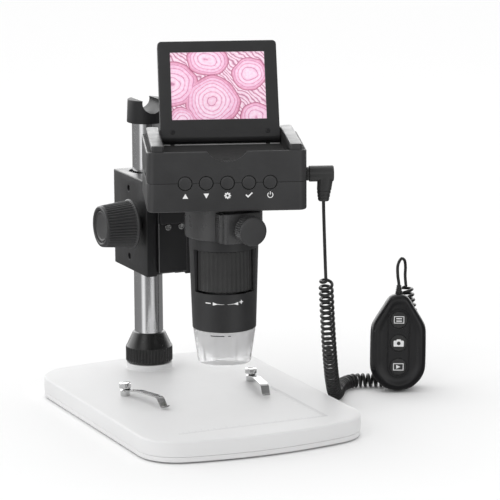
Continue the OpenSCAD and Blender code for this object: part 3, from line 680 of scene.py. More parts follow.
OUT = base_outline()
base = plate("base_top_shell", OUT, 5.3, 17, 0.35, 1.7, WORLD, M["white"], 7)
cut(base, plate("c", inset(OUT, 3), 4.0, 14.0, 0, 0))
CY = 97.1
boss = lathe("base_boss", rounded([(0.01, 16.5), (18.4, 16.5), (18.4, 17.05), (18.0, 17.3), (18.0, 21.2), (0.01, 21.2)], 0.7, 5), Matrix.Translation((0, CY, 0)), 96, M["white"])
done(join("base_top_shell", [base, boss]), "root", "white_plastic", "base_shell")
FOOT_XY = [(-68, -105), (68, -105), (-68, 105), (68, 105)]
blow = plate("base_lower_shell", inset(OUT, 0.15), 1.2, 5.15, 1.2, 0.35, WORLD, M["white"], 6)
for x, y in FOOT_XY:
    cut(blow, cyl("c", 3.1, (x, y, 0), (x, y, 3), 40))
cut(blow, cyl("c", 7.5, (0, 97.1, 0), (0, 97.1, 8), 64))
done(blow, "root", "white_plastic", "base_bottom")

# printed ruler: L-shaped, ticks every millimetre, inwards from the corner
ticks = []
RX, RY, RZ = 59.4, -102.8, 17.0
def strip(x0, y0, x1, y1, z=RZ, t=0.035):
    return [(x0, y0, z), (x1, y0, z), (x1, y1, z), (x0, y1, z), (x0, y0, z + t), (x1, y0, z + t), (x1, y1, z + t), (x0, y1, z + t)]
boxes = [strip(RX - 119.6, RY - 0.11, RX + 0.11, RY + 0.11), strip(RX - 0.11, RY, RX + 0.11, RY + 99.4)]
for i in range(120):
    h = 6.0 if i % 10 == 0 else (4.4 if i % 5 == 0 else 3.0)
    boxes.append(strip(RX - i - 0.09, RY, RX - i + 0.09, RY + h))
for i in range(1, 100):
    h = 6.0 if i % 10 == 0 else (4.4 if i % 5 == 0 else 3.0)
    boxes.append(strip(RX - h, RY + i - 0.09, RX, RY + i + 0.09))
v, f = [], []
for b in boxes:
    o0 = len(v)
    v += b
    f += [tuple(o0 + k for k in q) for q in ((3, 2, 1, 0), (4, 5, 6, 7), (0, 1, 5, 4), (1, 2, 6, 5), (2, 3, 7, 6), (3, 0, 4, 7))]
me_ruler = bpy.data.meshes.new("ruler_print")
me_ruler.from_pydata([tuple(Vector(p) * MM) for p in v], [], f)
ruler = bpy.data.objects.new("ruler_print", me_ruler)
scene.collection.objects.link(ruler)
me_ruler.materials.append(M["ink"])
done(ruler, "root", "white_plastic")

# ------------------------------------------------------------------ column, cap, lock nut
COLF = Matrix.Translation((0, CY, 0))
col = lathe("column_tube", [(0.01, 20), (11.2, 20), (11.2, 60), (11.2, 120), (11.2, 180), (11.2, 219), (0.01, 219)], COLF, 160, M["column"])
done(col, "root", "column_steel", "column")
cap = lathe("column_cap_body", rounded([(0.01, 212.6), (15.1, 212.6), (14.32, 230.5), (0.01, 230.5)], 0.6, 5), COLF, 128, M["black_dark"])
cut(cap, cyl("c", 7.9, (0, CY - 20, 228.5), (0, CY + 20, 228.5), 96))
bevel(cap, 0.3, 3, 35)
done(cap, "root", "black_plastic", "column_cap")
nut = ribbed("lock_nut", [(11.4, 21.7, 0), (17.4, 21.7, 0), (18.0, 22.2, 0), (18.4, 22.7, 0.0), (18.4, 23.2, 0.55), (18.4, 24, 0.75), (18.4, 33.0, 0.75), (18.35, 33.7, 0.5), (18.2, 34.1, 0), (17.95, 34.4, 0),
             (17.6, 34.9, 0), (15.3, 39.8, 0), (13.0, 44.8, 0), (12.7, 45.3, 0), (12.3, 45.6, 0), (11.4, 45.6, 0)], 44, COLF, M["nut"], 6, 50, 0.7)
done(nut, "lock_collar", "black_plastic", "lock_collar")

# ------------------------------------------------------------------ clips
CLIP = rounded([(-4.4, 21.9), (7, 21.9), (19, 24.0), (33, 24.6), (46.2, 25.0), (51.6, 18.55), (53.2, 18.3), (56.0, 20.0)], 2.2, 6)
def clip(name, x, rot, body):
    at = Matrix.Translation((x, 19, 0)) @ Matrix.Rotation(radians(rot), 4, "Z")
    v, f = [], []
    th = 0.7
    n = len(CLIP)
    for i, (s, z) in enumerate(CLIP):
        a, b = Vector(CLIP[max(0, i - 1)]), Vector(CLIP[min(n - 1, i + 1)])
        t = (b - a).normalized()
        nx, nz = -t.y, t.x
        w = 3.25
        if s < 2.5:
            w = sqrt(max(0.4, 4.6 ** 2 - min(4.5, max(0, 2.5 - s) * 0.66) ** 2)) * 3.25 / 4.6 if s < 0 else 3.25
        if s > 50:
            w = 3.25 - 0.15 * (s - 50)
        for yy, o_ in ((-w, 0), (w, 0), (w, th), (-w, th)):
            v.append((s + nx * o_, yy, z + nz * o_))
    for i in range(n - 1):
        for k in range(4):
            a, b = i * 4 + k, i * 4 + (k + 1) % 4
            f.append((a, b, b + 4, a + 4))
    f += [(3, 2, 1, 0), tuple((n - 1) * 4 + k for k in range(4))]
    o = make(name, v, f, at, M["clip"], True, 40)
    bevel(o, 0.16, 2, 50)
    done(o, body, "clip_steel", body)


clip("clip_left_strip", -52.5, -90 + 11.7, "clip_left")
clip("clip_right_strip", 52.5, -90 - 11.7, "clip_right")
posts = []
for x in (-52.5, 52.5):
    at = Matrix.Translation((x, 19, 0))
    posts.append(lathe("post", rounded([(0.01, 17), (3.7, 17), (3.7, 21.3), (2.0, 21.3), (2.0, 22.9), (0.01, 22.9)], 0.25, 3), at, 48, M["chrome"]))
    posts.append(ribbed("head", [(0.01, 22.8, 0), (3.9, 22.8, 0), (4.35, 23.1, 0), (4.4, 23.4, 0.3), (4.4, 26.1, 0.3), (4.35, 26.5, 0), (4.0, 26.9, 0), (2.6, 27.0, 0), (2.4, 26.7, 0), (0.01, 26.7, 0)], 26, at, M["chrome"], 4))
done(join("clip_posts_pair", posts), "root", "clip_steel", "clip_posts")

# ------------------------------------------------------------------ focusing block
blk = plate("block_body", outline_rrect(20.5, 50, 115.8, 1.0, 5), 99.5, 173.9, 0.8, 0.8, WORLD, M["block"], 4)
cut(blk, cyl("c", 14.05, (0, CY, 90), (0, CY, 180), 96))
cut(blk, box("c", (-12, 40, 90), (12, 52.8, 190)))
cut(blk, box("c", (-14.3, 52.7, 90), (14.3, 55.7, 190)))
cut(blk, box("c", (-5.4, 55.6, 90), (5.4, 57.6, 190)))
for z in (109.8, 163.6):
    cut(blk, cyl("c", 2.5, (-25, 85.3, z), (-16.5, 85.3, z), 40))
cut(blk, cyl("c", 3.05, (-30, 64, 139.8), (30, 64, 139.8), 40))
bevel(blk, 0.35, 3, 40)
apply_mods(blk)
# painted shade: the block's faces that look to the front (normal -Y) get a darker black material, standing in for the
# shade the head and arm cast on that face
blk.data.materials.append(M["paint"])
for pg in blk.data.polygons:
    if pg.normal.y < -0.9:
        pg.material_index = 1
done(blk, "block", "black_paint", "block_housing")
SH = Matrix.Translation((0, 64, 139.8))
for s, nm in ((-1, "left"), (1, "right")):
    at = SH @ frame_to((0, 0, 0), (s, 0, 0), (0, 0, 1))
    prof = [(3.05, 21.2, 0), (6.2, 21.2, 0), (6.2, 26.9, 0), (17.6, 27.0, 0), (18.8, 27.4, 0), (19.1, 28.0, 0), (19.0, 28.6, 0), (18.5, 28.9, 0), (18.35, 29.3, 0.5), (18.2, 30.2, 0.85),
            (16.25, 49.6, 0.85), (16.1, 50.9, 0.5), (16.0, 51.3, 0), (15.85, 52.2, 0), (15.5, 52.75, 0), (15.0, 53.05, 0), (14.3, 53.1, 0), (13.4, 53.05, 0), (12.95, 52.8, 0), (12.7, 52.3, 0), (12.6, 51.7, 0), (0.01, 51.5, 0)]
    k = ribbed("focus_knob_" + nm, prof, 46, at, M["black"], 6, 50, 0.6)
    disc = lathe("disc", rounded([(0.01, 51.2), (11.7, 51.2), (11.7, 52.15), (11.2, 52.3), (10.4, 52.1), (10.1, 51.85), (0.01, 51.75)], 0.2, 3), at, 96, M["knob_disc"])
    done(join("focus_knob_" + nm, [k, disc]), "focus_shaft", "black_plastic", "knob_" + nm)
bk = ribbed("block_lock_knob_grip", [(0.01, 116.2, 0), (7.6, 116.2, 0), (8, 116.6, 0), (8, 118.9, 0), (9.2, 119.2, 0), (9.5, 119.8, 0), (9.5, 120.3, 0.6), (9.5, 127.5, 0.6), (9.4, 128.2, 0), (9.0, 128.8, 0), (0.01, 128.9, 0)],
            24, frame_to((0, 0, 137), (0, 1, 0)), M["black"], 6)
done(bk, "block_lock", "black_plastic", "block_lock_knob")
# slide: plate, screws

def yplate(name, pts, y_front, y_back, r_front, r_back, at=WORLD, mat=None, n=4, angle=35):
    """a plate whose outline lies in XZ, from y_front (towards -Y) to y_back."""
    rings = []
    for d, h in edge_profile(0, y_back - y_front, r_front, r_back, n):
        q = inset(pts, d) if d > 1e-6 else pts
        rings.append([(x, y_front + h, z) for x, z in q])
    return loft(name, rings, at, mat, True, angle)


sl = yplate("slide_front_plate", outline_rrect(11.7, 102.5, 173, 0.6, 4), 46.5, 53.1, 0.5, 0.05, WORLD, M["paint"])
st = yplate("slide_tongue", outline_rrect(14.0, 102.5, 173, 0.3, 2), 53.0, 55.4, 0.2, 0.2, WORLD, M["paint"])
cut(st, box("c", (-5.05, 52, 90), (5.05, 60, 190)))
sp = join("slide_plate_body", [sl, st])
# painted highlight: the plate's front bevel faces get a lighter grey metallic material, standing in for the bright line
# of light along the plate's edge
sp.data.materials.append(M["edge"])
for pg in sp.data.polygons:
    if pg.center.y < 0.04705 and pg.normal.y > -0.97:
        pg.material_index = len(sp.data.materials) - 1
done(sp, "slide", "black_paint", "slide_plate")
scr = []
for x, z, y, r in ((-3.9, 138.2, 46.5, 2.6), (7.1, 138.2, 46.5, 2.6), (-7, 156, 42.5, 3.0), (7, 156, 42.5, 3.0)):
    at = frame_to((x, y, z), (0, -1, 0), (1, 0, 0))
    scr.append(lathe("s", rounded([(0.01, -3), (1.5, -3), (1.5, 0.0), (r, 0.0), (r, 0.75), (r * 0.78, 1.0), (r * 0.58, 1.0), (r * 0.56, 0.05), (0.01, 0.0)], 0.22, 3), at, 40, M["screw"]))
done(join("slide_screw_heads", scr), "slide", "screw_chrome", "slide_screws")

# ------------------------------------------------------------------ ring holder and clamp knob
BARF = Matrix.Translation((0, -BAR_Y, 0))
ring = lathe("holder_ring", rounded([(25.85, 149.6), (28.0, 149.6), (28.8, 150.2), (28.8, 172.9), (28.2, 173.5), (25.85, 173.5), (25.85, 149.6)][:-1], 0.5, 4), BARF, 160, M["holder"], hollow=True)
fb = plate("holder_boss", outline_rrect(15, -86.4, -60, 3.2, 8), 149.6, 171.9, 0.7, 0.9, WORLD, M["holder"], 4)
cut(fb, cyl("c", 26.6, (0, -BAR_Y, 140), (0, -BAR_Y, 180), 128))
# a step either side of the boss, where it meets the ring
wing = plate("holder_step", outline_rrect(17.0, -82.5, -62, 2.0, 8), 149.9, 171.2, 0.5, 0.6, WORLD, M["holder"], 4)
cut(wing, cyl("c", 26.6, (0, -BAR_Y, 140), (0, -BAR_Y, 180), 128))
arm = plate("holder_arm", outline_rrect(11.5, -22.5, 46, 1.5, 4), 160.5, 171.5, 1.2, 1.2, WORLD, M["holder"], 4)
leg = yplate("holder_leg", outline_rrect(11.7, 141.2, 173, 0.8, 4), 42.5, 46.48, 0.6, 0.1, WORLD, M["paint"])
done(join("ring_holder_body", [ring, fb, wing, arm, leg]), "slide", "black_paint", "ring_holder")
at = frame_to((0, -91.6, 161), (0, -1, 0), (0, 0, 1))
ck = ribbed("clamp_knob_grip", [(0.01, 0, 0), (9.3, 0, 0), (9.9, 0.3, 0), (10.3, 0.9, 0), (10.7, 1.5, 0.1), (10.8, 2.0, 0.75), (10.8, 9.4, 0.75), (10.75, 10.0, 0.3), (10.5, 10.6, 0), (10.15, 11.1, 0), (9.6, 11.4, 0), (8.5, 11.5, 0), (0.01, 11.5, 0)],
            36, at, M["black"], 6, 50, 0.7)
ckn = cyl("ck_neck", 4.6, (0, -92.0, 161), (0, -86.8, 161), 48, WORLD, M["black_dark"], 0.3)
ckr = cyl("ck_shaft", 2.5, (0, -92.0, 161), (0, -75.4, 161), 32, WORLD, M["steel"])
done(join("clamp_knob_grip", [ck, ckn, ckr]), "ring_clamp", "black_plastic", "ring_clamp_knob")

# ------------------------------------------------------------------ head shells
BTN = [-30.4, -15.2, 0.2, 15.7, 31.1]
HO = outline_rrect(58, -43.5, 43.5, 6.2, 10)
lower = plate("head_lower_shell", HO, 175.0, 196.05, 1.6, 0.22, HEAD, M["black"], 5)
upper = plate("head_upper_shell", HO, 196.25, 219.2, 0.22, 0.9, HEAD, M["black"], 5)
POST_XY = [(-50, -36), (50, -36), (-50, 36), (50, 36)]
cut(lower, plate("c", outline_rrect(55.6, -41.1, 41.1, 4.1, 6), 177.5, 200, 0, 0, HEAD))
cut(upper, plate("c", outline_rrect(55.6, -41.1, 41.1, 4.1, 6), 190, 209.9, 0, 0, HEAD))
for x, y in POST_XY:
    cut(lower, cyl("c", 3.0, (x, y, 170), (x, y, 176.1), 40, HEAD))
tr = outline_rrect(45.3, -42.4, 39.5, 2.0, 5)
cut(upper, plate("c", tr, 211.9, 230, 0.6, 0, HEAD))
rails = []
for s in (-1, 1):
    pts = [(x + s * 49.95, y) for x, y in outline_rrect(4.65, -42.3, 43.3, 2.4, 8)]
    r = plate("rail", pts, 217.2, 223.7, 0, 1.0, HEAD, M["black"], 5)
    rails.append(r)
fin = cyl("c", 18, (0, -60, 229.6), (0, -36, 229.6), 96, HEAD)
cut(upper, fin)
for x in BTN:
    cut(upper, cyl("c", 5.28, (x, -50, 196.2), (x, -40, 196.2), 64, HEAD))
    cut(lower, cyl("c", 5.28, (x, -50, 196.2), (x, -40, 196.2), 64, HEAD))
for (y0, y1, z1_) in ((-22, -9, 200), (2, 11, 200.6)):
    cut(upper, box("c", (-60, y0, 197.4), (-53, y1, z1_), HEAD))
cut(upper, cyl("c", 4.3, (54, -28, 199), (60, -28, 199), 48, HEAD))
cut(lower, cyl("c", 4.3, (54, -28, 199), (60, -28, 199), 48, HEAD))
cut(lower, cyl("c", 16, (0, 0, 170), (0, 0, 181), 96, HEAD))
bevel(upper, 0.25, 3, 40)
bevel(lower, 0.2, 3, 40)
for o in (upper, lower):
    apply_mods(o)
ledge = box("ledge", (-45.2, 28.3, 211.4), (45.2, 39.5, 212.3), HEAD, M["black"], True)
bevel(ledge, 0.2, 2)
apply_mods(ledge)
# painted highlight: thin light-grey strips in three pieces along the ledge's front edge, standing in for the bright
# line of light that edge catches
ledge_highlight_strips = [box("ledge_highlight_line", (x0, 28.1, 211.75), (x1, 28.75, 212.62), HEAD, M["ledge"]) for x0, x1 in ((-44.2, -37.2), (-34.0, 34.0), (37.2, 44.2))]
hu = join("head_upper_shell", [upper, ledge] + rails)
hu.data.materials.append(M["tray"])
INV = HEAD.inverted()
for pg in hu.data.polygons:
    q = INV @ (Vector(pg.center) / MM)
    if 211.8 < q.z < 223 and abs(q.x) < 45.36 and -42.5 < q.y < 39.6:
        pg.material_index = len(hu.data.materials) - 1
done(hu, "head", "black_plastic", "head_upper")
done(join("tray_rear_highlight_line", ledge_highlight_strips), "head", "black_plastic")
done(lower, "head", "black_plastic", "head_lower")
for i, (x, nm) in enumerate(zip(BTN, ("up", "down", "menu", "ok", "power"))):
    at = HEAD @ frame_to((x, -39.0, 196.2), (0, -1, 0), (1, 0, 0))
    b = lathe("button_" + nm, [(0.01, -0.6), (2, -0.6), (2, 0), (5.9, 0), (5.9, 1.0), (4.9, 1.1), (4.9, 3.9), (4.82, 4.3), (4.6, 4.58), (4.2, 4.75), (3.6, 4.84), (0.01, 4.9)], at, 64, M["black"])
    done(b, "btn_" + nm, "black_plastic", "btn_" + nm)

# icons on the head's front
FRONT = HEAD @ Matrix.Translation((0, -43.5, 0))
IZ = 186.9
ic = []
ic.append(flat_shape("icon_up", [[(BTN[0] - 2.0, IZ - 1.7), (BTN[0] + 2.0, IZ - 1.7), (BTN[0], IZ + 1.9)]], FRONT, M["mark"]))
ic.append(flat_shape("icon_down", [[(BTN[1] - 2.0, IZ + 1.8), (BTN[1] + 2.0, IZ + 1.8), (BTN[1], IZ - 1.8)]], FRONT, M["mark"]))
teeth = []
for k in range(8):
    a = radians(45 * k)
    t, nn = Vector((cos(a), sin(a))), Vector((-sin(a), cos(a)))
    q = [t * 1.6 - nn * 0.62, t * 2.45 - nn * 0.42, t * 2.45 + nn * 0.42, t * 1.6 + nn * 0.62]
    teeth.append([(BTN[2] + p.x, IZ + p.y) for p in q])
ic.append(flat_shape("icon_gear", [ring_loop(BTN[2], IZ, 1.95, 0.85, 0, 180, 16), ring_loop(BTN[2], IZ, 1.95, 0.85, 180, 360, 16)] + teeth, FRONT, M["mark"]))
bx_ = BTN[3]
ic.append(flat_shape("icon_tick", [[(bx_ - 2.6, IZ + 0.1), (bx_ - 1.9, IZ + 0.75), (bx_ - 0.75, IZ - 0.45), (bx_ + 2.1, IZ + 2.2), (bx_ + 2.7, IZ + 1.5), (bx_ - 0.75, IZ - 1.85)]], FRONT, M["mark"]))
ic.append(flat_shape("icon_power", [ring_loop(BTN[4], IZ - 0.1, 2.2, 1.65, 125, 415, 36), [(BTN[4] - 0.28, IZ + 0.2), (BTN[4] + 0.28, IZ + 0.2), (BTN[4] + 0.28, IZ + 2.5), (BTN[4] - 0.28, IZ + 2.5)]], FRONT, M["mark"]))
done(join("head_icons", ic), "head", "black_plastic")

# ------------------------------------------------------------------ barrel
def bar_r(z):
    return 23.66 + (z - 80.2) * (25.67 - 23.66) / (143 - 80.2)


outer = [(21.0, 80.2), (23.3, 80.2), (23.66, 80.6), (bar_r(98), 98), (bar_r(120), 120), (25.67, 142.6), (25.75, 143.2), (25.75, 173.6), (28, 173.8), (28, 174.92), (22.7, 174.92), (22.7, 141.3), (22.7, 109.0), (21.0, 105.6)]
bar = lathe("barrel_shell", outer, HEAD, 192, M["barrel"], hollow=True)
for s in (0, 180):
    pts = [(0, 0)] + [(60 * sin(radians(a)), -60 * cos(radians(a))) for a in range(-64, 65, 8)]
    w = loft("c", [[(x, y, 109.0) for x, y in pts], [(x, y, 141.3) for x, y in pts]], HEAD @ Matrix.Rotation(radians(s), 4, "Z"))
    cut(bar, w)
bevel(bar, 0.35, 3, 35)
done(bar, "head", "black_plastic", "barrel")
wp = [(15.9, 109.6, 0), (21.3, 109.6, 0), (21.9, 109.9, 0), (22.1, 110.4, 0.1), (22.1, 111.0, 0.6), (22.1, 139.3, 0.6), (22.1, 139.9, 0.1), (21.9, 140.4, 0), (21.3, 140.7, 0), (15.9, 140.7, 0)]
fwheel = ribbed("focus_wheel_ribs", wp, 40, HEAD, M["rubber"], 8, 50, 1.4)
done(fwheel, "focus_wheel", "wheel_rubber", "focus_wheel")


def on_barrel(name, loops, mat, lift=0.05):
    """loops in (angle degrees from the front, z) laid on the barrel's cone, subdivided by the caller."""
    v, f = [], []
    for lp in loops:
        o0 = len(v)
        for a, z in lp:
            r = bar_r(z) + lift
            v.append((r * sin(radians(a)), -r * cos(radians(a)), z))
        f.append(tuple(range(o0, len(v))))
    return make(name, v, f, HEAD, mat, False)


def arc_band(a0, a1, z_of, w_of, n=14):
    top = [(a0 + (a1 - a0) * i / n, z_of(i / n) + w_of(i / n) / 2) for i in range(n + 1)]
    bot = [(a0 + (a1 - a0) * i / n, z_of(i / n) - w_of(i / n) / 2) for i in range(n + 1)]
    return [[bot[i], bot[i + 1], top[i + 1], top[i]] for i in range(n)]


# angles are counted from the head's own front, 20 degrees from the base's
A0 = 20.13
quads = []
quads += arc_band(-58 + A0, -48 + A0, lambda t: 102.5, lambda t: 0.75, 5)
quads += arc_band(-44 + A0, -24 + A0, lambda t: 102.2 - 0.35 * t, lambda t: 0.15 + max(0, 1.9 * (1 - t * 2.6)) + 0.42 * (1 - t), 16)
quads += arc_band(-18 + A0, 1 + A0, lambda t: 101.9 + 0.35 * t, lambda t: 0.15 + max(0, 1.9 * (1 - (1 - t) * 2.6)) + 0.42 * t, 16)
quads += arc_band(3.5 + A0, 10.5 + A0, lambda t: 103.2, lambda t: 0.75, 5)
quads += arc_band(6.1 + A0, 7.9 + A0, lambda t: 103.2, lambda t: 2.9, 2)
done(on_barrel("focus_marks", quads, M["mark"]), "head", "black_plastic")

# ------------------------------------------------------------------ clear shroud and lamps
shp = [(19.2, 84.9), (20.9, 84.9), (20.9, 80.15), (23.2, 80.15), (22.67, 76.2), (19.6, 54.8), (19.3, 54.3), (18.9, 54.2), (18.2, 54.3), (17.9, 54.8), (19.2, 78.0)]
shr = lathe("shroud_cone", shp, HEAD, 128, M["clear"], hollow=True, angle=30)
ribs = []
for a in (-54, -21.5, 21.5, 54, 126, 158.5, 201.5, 234):
    at = HEAD @ Matrix.Rotation(radians(a), 4, "Z")
    q = []
    for z in (56.5, 60, 66, 72, 77.5):
        ro = 19.47 + (z - 54.2) * (23.29 - 19.47) / 26.0 - 1.55
        q.append([(-0.55, -ro, z), (0.55, -ro, z), (0.35, -ro + 1.3, z), (-0.35, -ro + 1.3, z)])
    ribs.append(loft("rib", q, at, M["clear"]))
done(join("shroud_cone", [shr] + ribs), "head", "clear_plastic", "shroud")
slot_mark = []
for a0, a1 in ((-30, -4), (3, 8)):
    v, f = [], []
    n = 8
    for i in range(n + 1):
        a = radians(a0 + (a1 - a0) * i / n)
        for z, r in ((77.9, 23.0), (77.2, 22.9)):
            v.append(((r + 0.03) * sin(a), -(r + 0.03) * cos(a), z))
    f = [(2 * i, 2 * i + 1, 2 * i + 3, 2 * i + 2) for i in range(n)]
    slot_mark.append(make("sm", v, f, HEAD, M["black"], False))
done(join("shroud_snap_slots", slot_mark), "head", "clear_plastic")

# ------------------------------------------------------------------ lid
def lid_pts(z0):
    r = 3.0
    return arc(44.6 - r, 74.2 - r, r, 0, 90, 8) + arc(-44.6 + r, 74.2 - r, r, 90, 180, 8) + [(-44.6, z0), (44.6, z0)]


bez = yplate("lid_front_frame", lid_pts(3.35), -4.2, -0.25, 0.9, 0.15, LID, M["lid"], 4)
cut(bez, box("c", (-35.54, -6, 12.3), (35.54, 2, 65.62), LID))
bevel(bez, 0.22, 3, 40)
apply_mods(bez)
done(bez, "lid", "black_plastic", "lid_bezel")
back = yplate("lid_back_shell", lid_pts(3.9), -0.15, 4.2, 0.15, 1.6, LID, M["lid"], 5)
rr = 4.2
prof = [(y, z) for y, z in [(-4.2, 4.25), (-4.2, 2.4), (-4.2, 0.6)] + [(rr * cos(radians(a)), rr * sin(radians(a))) for a in range(188, 353, 8)] + [(4.2, 0.6), (4.2, 4.25)]]
bar_h = loft("lid_bar", [[(x, y, z) for y, z in prof] for x in (-44.6, -44.3, 44.3, 44.6)], LID, M["lid"])
done(join("lid_back_shell", [back, bar_h]), "lid", "black_plastic", "lid_back")
bump = []
for x in (-35.5, 35.5):
    at = LID @ frame_to((x, -4.2, 2.8), (0, -1, 0), (1, 0, 0))
    bump.append(lathe("b", rounded([(0.01, -0.5), (2.0, -0.5), (2.0, 0.02), (1.6, 0.02), (1.5, 0.26), (1.0, 0.38), (0.01, 0.42)], 0.1, 3), at, 32, M["gloss"]))
done(join("lid_bumper_dots", bump), "lid", "black_plastic")

# ------------------------------------------------------------------ display: panel, picture, cover
panel = yplate("display_panel", outline_rrect(38.4, 9.6, 67.8, 0.6, 4), -3.5, -0.25, 0.15, 0.15, LID, M["gloss"])
done(panel, "lid", "display_glass", "lcd_panel")


def picture_material():
    """a magnified slice of generic plant tissue: rings about three centres of our own choosing."""
    mt = bpy.data.materials.new("display_picture")
    mt.use_nodes = True
    nt = mt.node_tree
    b = nt.nodes["Principled BSDF"]
    b.inputs["Roughness"].default_value = 0.28
    uv = nt.nodes.new("ShaderNodeUVMap")
    uv.uv_map = "UVMap"

    def n(kind, **kw):
        x = nt.nodes.new(kind)
        for k, v in kw.items():
            setattr(x, k, v)
        return x

    def math_(op, a, b_=None, c=None):
        x = n("ShaderNodeMath", operation=op)
        for i, v in enumerate((a, b_, c)):
            if v is None:
                continue
            if isinstance(v, (int, float)):
                x.inputs[i].default_value = v
            else:
                nt.links.new(v, x.inputs[i])
        return x.outputs[0]

    def ramp(fac, stops):
        r = n("ShaderNodeValToRGB")
        el = r.color_ramp.elements
        while len(el) < len(stops):
            el.new(0.5)
        for e_, (p, col) in zip(el, stops):
            e_.position = p
            e_.color = (*[srgb(c) for c in col], 1)
        nt.links.new(fac, r.inputs["Fac"])
        return r.outputs["Color"]

    def mix(fac, a, b_, mode="MIX"):
        x = n("ShaderNodeMix", data_type="RGBA", blend_type=mode)
        if isinstance(fac, (int, float)):
            x.inputs[0].default_value = fac
        else:
            nt.links.new(fac, x.inputs[0])
        for i, v in ((6, a), (7, b_)):
            if isinstance(v, tuple):
                x.inputs[i].default_value = (*v, 1)
            else:
                nt.links.new(v, x.inputs[i])
        return x.outputs[2]

    warp = n("ShaderNodeTexNoise")
    warp.inputs["Scale"].default_value = 2.2
    warp.inputs["Detail"].default_value = 2
    nt.links.new(uv.outputs["UV"], warp.inputs["Vector"])
    sc = n("ShaderNodeVectorMath", operation="SCALE")
    nt.links.new(warp.outputs["Color"], sc.inputs[0])
    sc.inputs["Scale"].default_value = 0.16
    add = n("ShaderNodeVectorMath", operation="ADD")
    nt.links.new(uv.outputs["UV"], add.inputs[0])
    nt.links.new(sc.outputs[0], add.inputs[1])
    fine = n("ShaderNodeTexNoise")
    fine.inputs["Scale"].default_value = 26
    fine.inputs["Detail"].default_value = 4
    nt.links.new(uv.outputs["UV"], fine.inputs["Vector"])

    def rosette(cx, cy, stretch, size, freq):
        mp = n("ShaderNodeMapping")
        mp.inputs["Location"].default_value = (-cx * stretch, -cy, 0)
        mp.inputs["Scale"].default_value = (stretch, 1, 1)
        nt.links.new(add.outputs[0], mp.inputs["Vector"])
        ln = n("ShaderNodeVectorMath", operation="LENGTH")
        nt.links.new(mp.outputs[0], ln.inputs[0])
        d = ln.outputs["Value"]
        # rings lie closer towards the outside
        q = math_("POWER", math_("DIVIDE", d, size), 1.35)
        fr = math_("FRACT", math_("ADD", math_("MULTIPLY", q, freq), math_("MULTIPLY", fine.outputs["Fac"], 0.22)))
        ring = ramp(fr, [(0.0, (186, 130, 160)), (0.07, (222, 174, 200)), (0.17, (244, 216, 232)), (0.62, (250, 230, 242)), (0.93, (240, 206, 226)), (1.0, (192, 138, 166))])
        tone = ramp(math_("DIVIDE", d, size), [(0.0, (252, 244, 238)), (0.16, (252, 240, 244)), (0.55, (254, 244, 250)), (0.86, (246, 214, 230)), (0.97, (214, 150, 174)), (1.0, (182, 112, 138))])
        col = mix(0.92, ring, tone, "MULTIPLY")
        core = math_("LESS_THAN", d, size * 0.10)
        col = mix(math_("MULTIPLY", core, 0.75), col, (srgb(246), srgb(226), srgb(220)))
        return col, math_("SUBTRACT", math_("DIVIDE", d, size), 1.0)

    # our own layout: one large slice right of the middle, others at the left edge and corner
    parts = [rosette(0.66, 0.34, 1.0, 0.40, 7), rosette(0.10, 0.62, 0.92, 0.34, 6), rosette(0.20, 0.02, 1.1, 0.26, 5), rosette(1.20, 0.74, 1.0, 0.26, 5),
             rosette(0.62, 0.98, 0.8, 0.26, 5), rosette(1.26, 0.12, 1.0, 0.24, 4)]
    col, best = parts[0]
    for c2, d2 in parts[1:]:
        closer = math_("LESS_THAN", d2, best)
        col = mix(closer, col, c2)
        best = math_("MINIMUM", best, d2)
    # between the slices: fine arcs of tissue
    gap = math_("GREATER_THAN", best, 0.0)
    wv = n("ShaderNodeTexWave", wave_type="BANDS", bands_direction="DIAGONAL")
    wv.inputs["Scale"].default_value = 9
    wv.inputs["Distortion"].default_value = 5
    wv.inputs["Detail"].default_value = 2
    nt.links.new(add.outputs[0], wv.inputs["Vector"])
    between = ramp(wv.outputs["Fac"], [(0.0, (184, 128, 152)), (0.25, (226, 184, 206)), (1.0, (246, 222, 234))])
    col = mix(gap, col, between)
    spk = ramp(fine.outputs["Fac"], [(0.35, (236, 226, 232)), (0.65, (255, 255, 255))])
    col = mix(0.8, col, spk, "MULTIPLY")
    nt.links.new(col, b.inputs["Base Color"])
    nt.links.new(col, b.inputs["Emission Color"])
    b.inputs["Emission Strength"].default_value = 0.31
    return mt


pw, pz0, pz1 = 35.42, 12.45, 65.45
nx_, nz_ = 28, 21
pv, pf = [], []
for j in range(nz_ + 1):
    for i in range(nx_ + 1):
        pv.append((-pw + 2 * pw * i / nx_, -3.56, pz0 + (pz1 - pz0) * j / nz_))
for j in range(nz_):
    for i in range(nx_):
        a = j * (nx_ + 1) + i
        pf.append((a, a + 1, a + nx_ + 2, a + nx_ + 1))
me_p = bpy.data.meshes.new("display_picture")
me_p.from_pydata([tuple((LID @ Vector(q)) * MM) for q in pv], [], pf)
uvl = me_p.uv_layers.new(name="UVMap")
for lp in me_p.loops:
    x, _, z = pv[lp.vertex_index]
    uvl.data[lp.index].uv = ((x + pw) / 52.6, (z - pz0) / 52.6)
pic = bpy.data.objects.new("display_picture", me_p)
scene.collection.objects.link(pic)
me_p.materials.append(picture_material())
pic.visible_glossy = False
done(pic, "lid", "display_glass")
# thin lighter-grey frame round the picture: a painted highlight standing in for the lit inner edge of the bezel
fr = []
for a, b in (((-35.5, -3.66, 12.34), (35.5, -3.5, 12.5)), ((-35.5, -3.66, 65.3), (35.5, -3.5, 65.58)), ((-35.5, -3.66, 12.34), (-35.34, -3.5, 65.58)), ((35.2, -3.66, 12.34), (35.5, -3.5, 65.58))):
    fr.append(box("f", a, b, LID, M["lip"]))
done(join("display_frame_highlight", fr), "lid", "black_plastic")

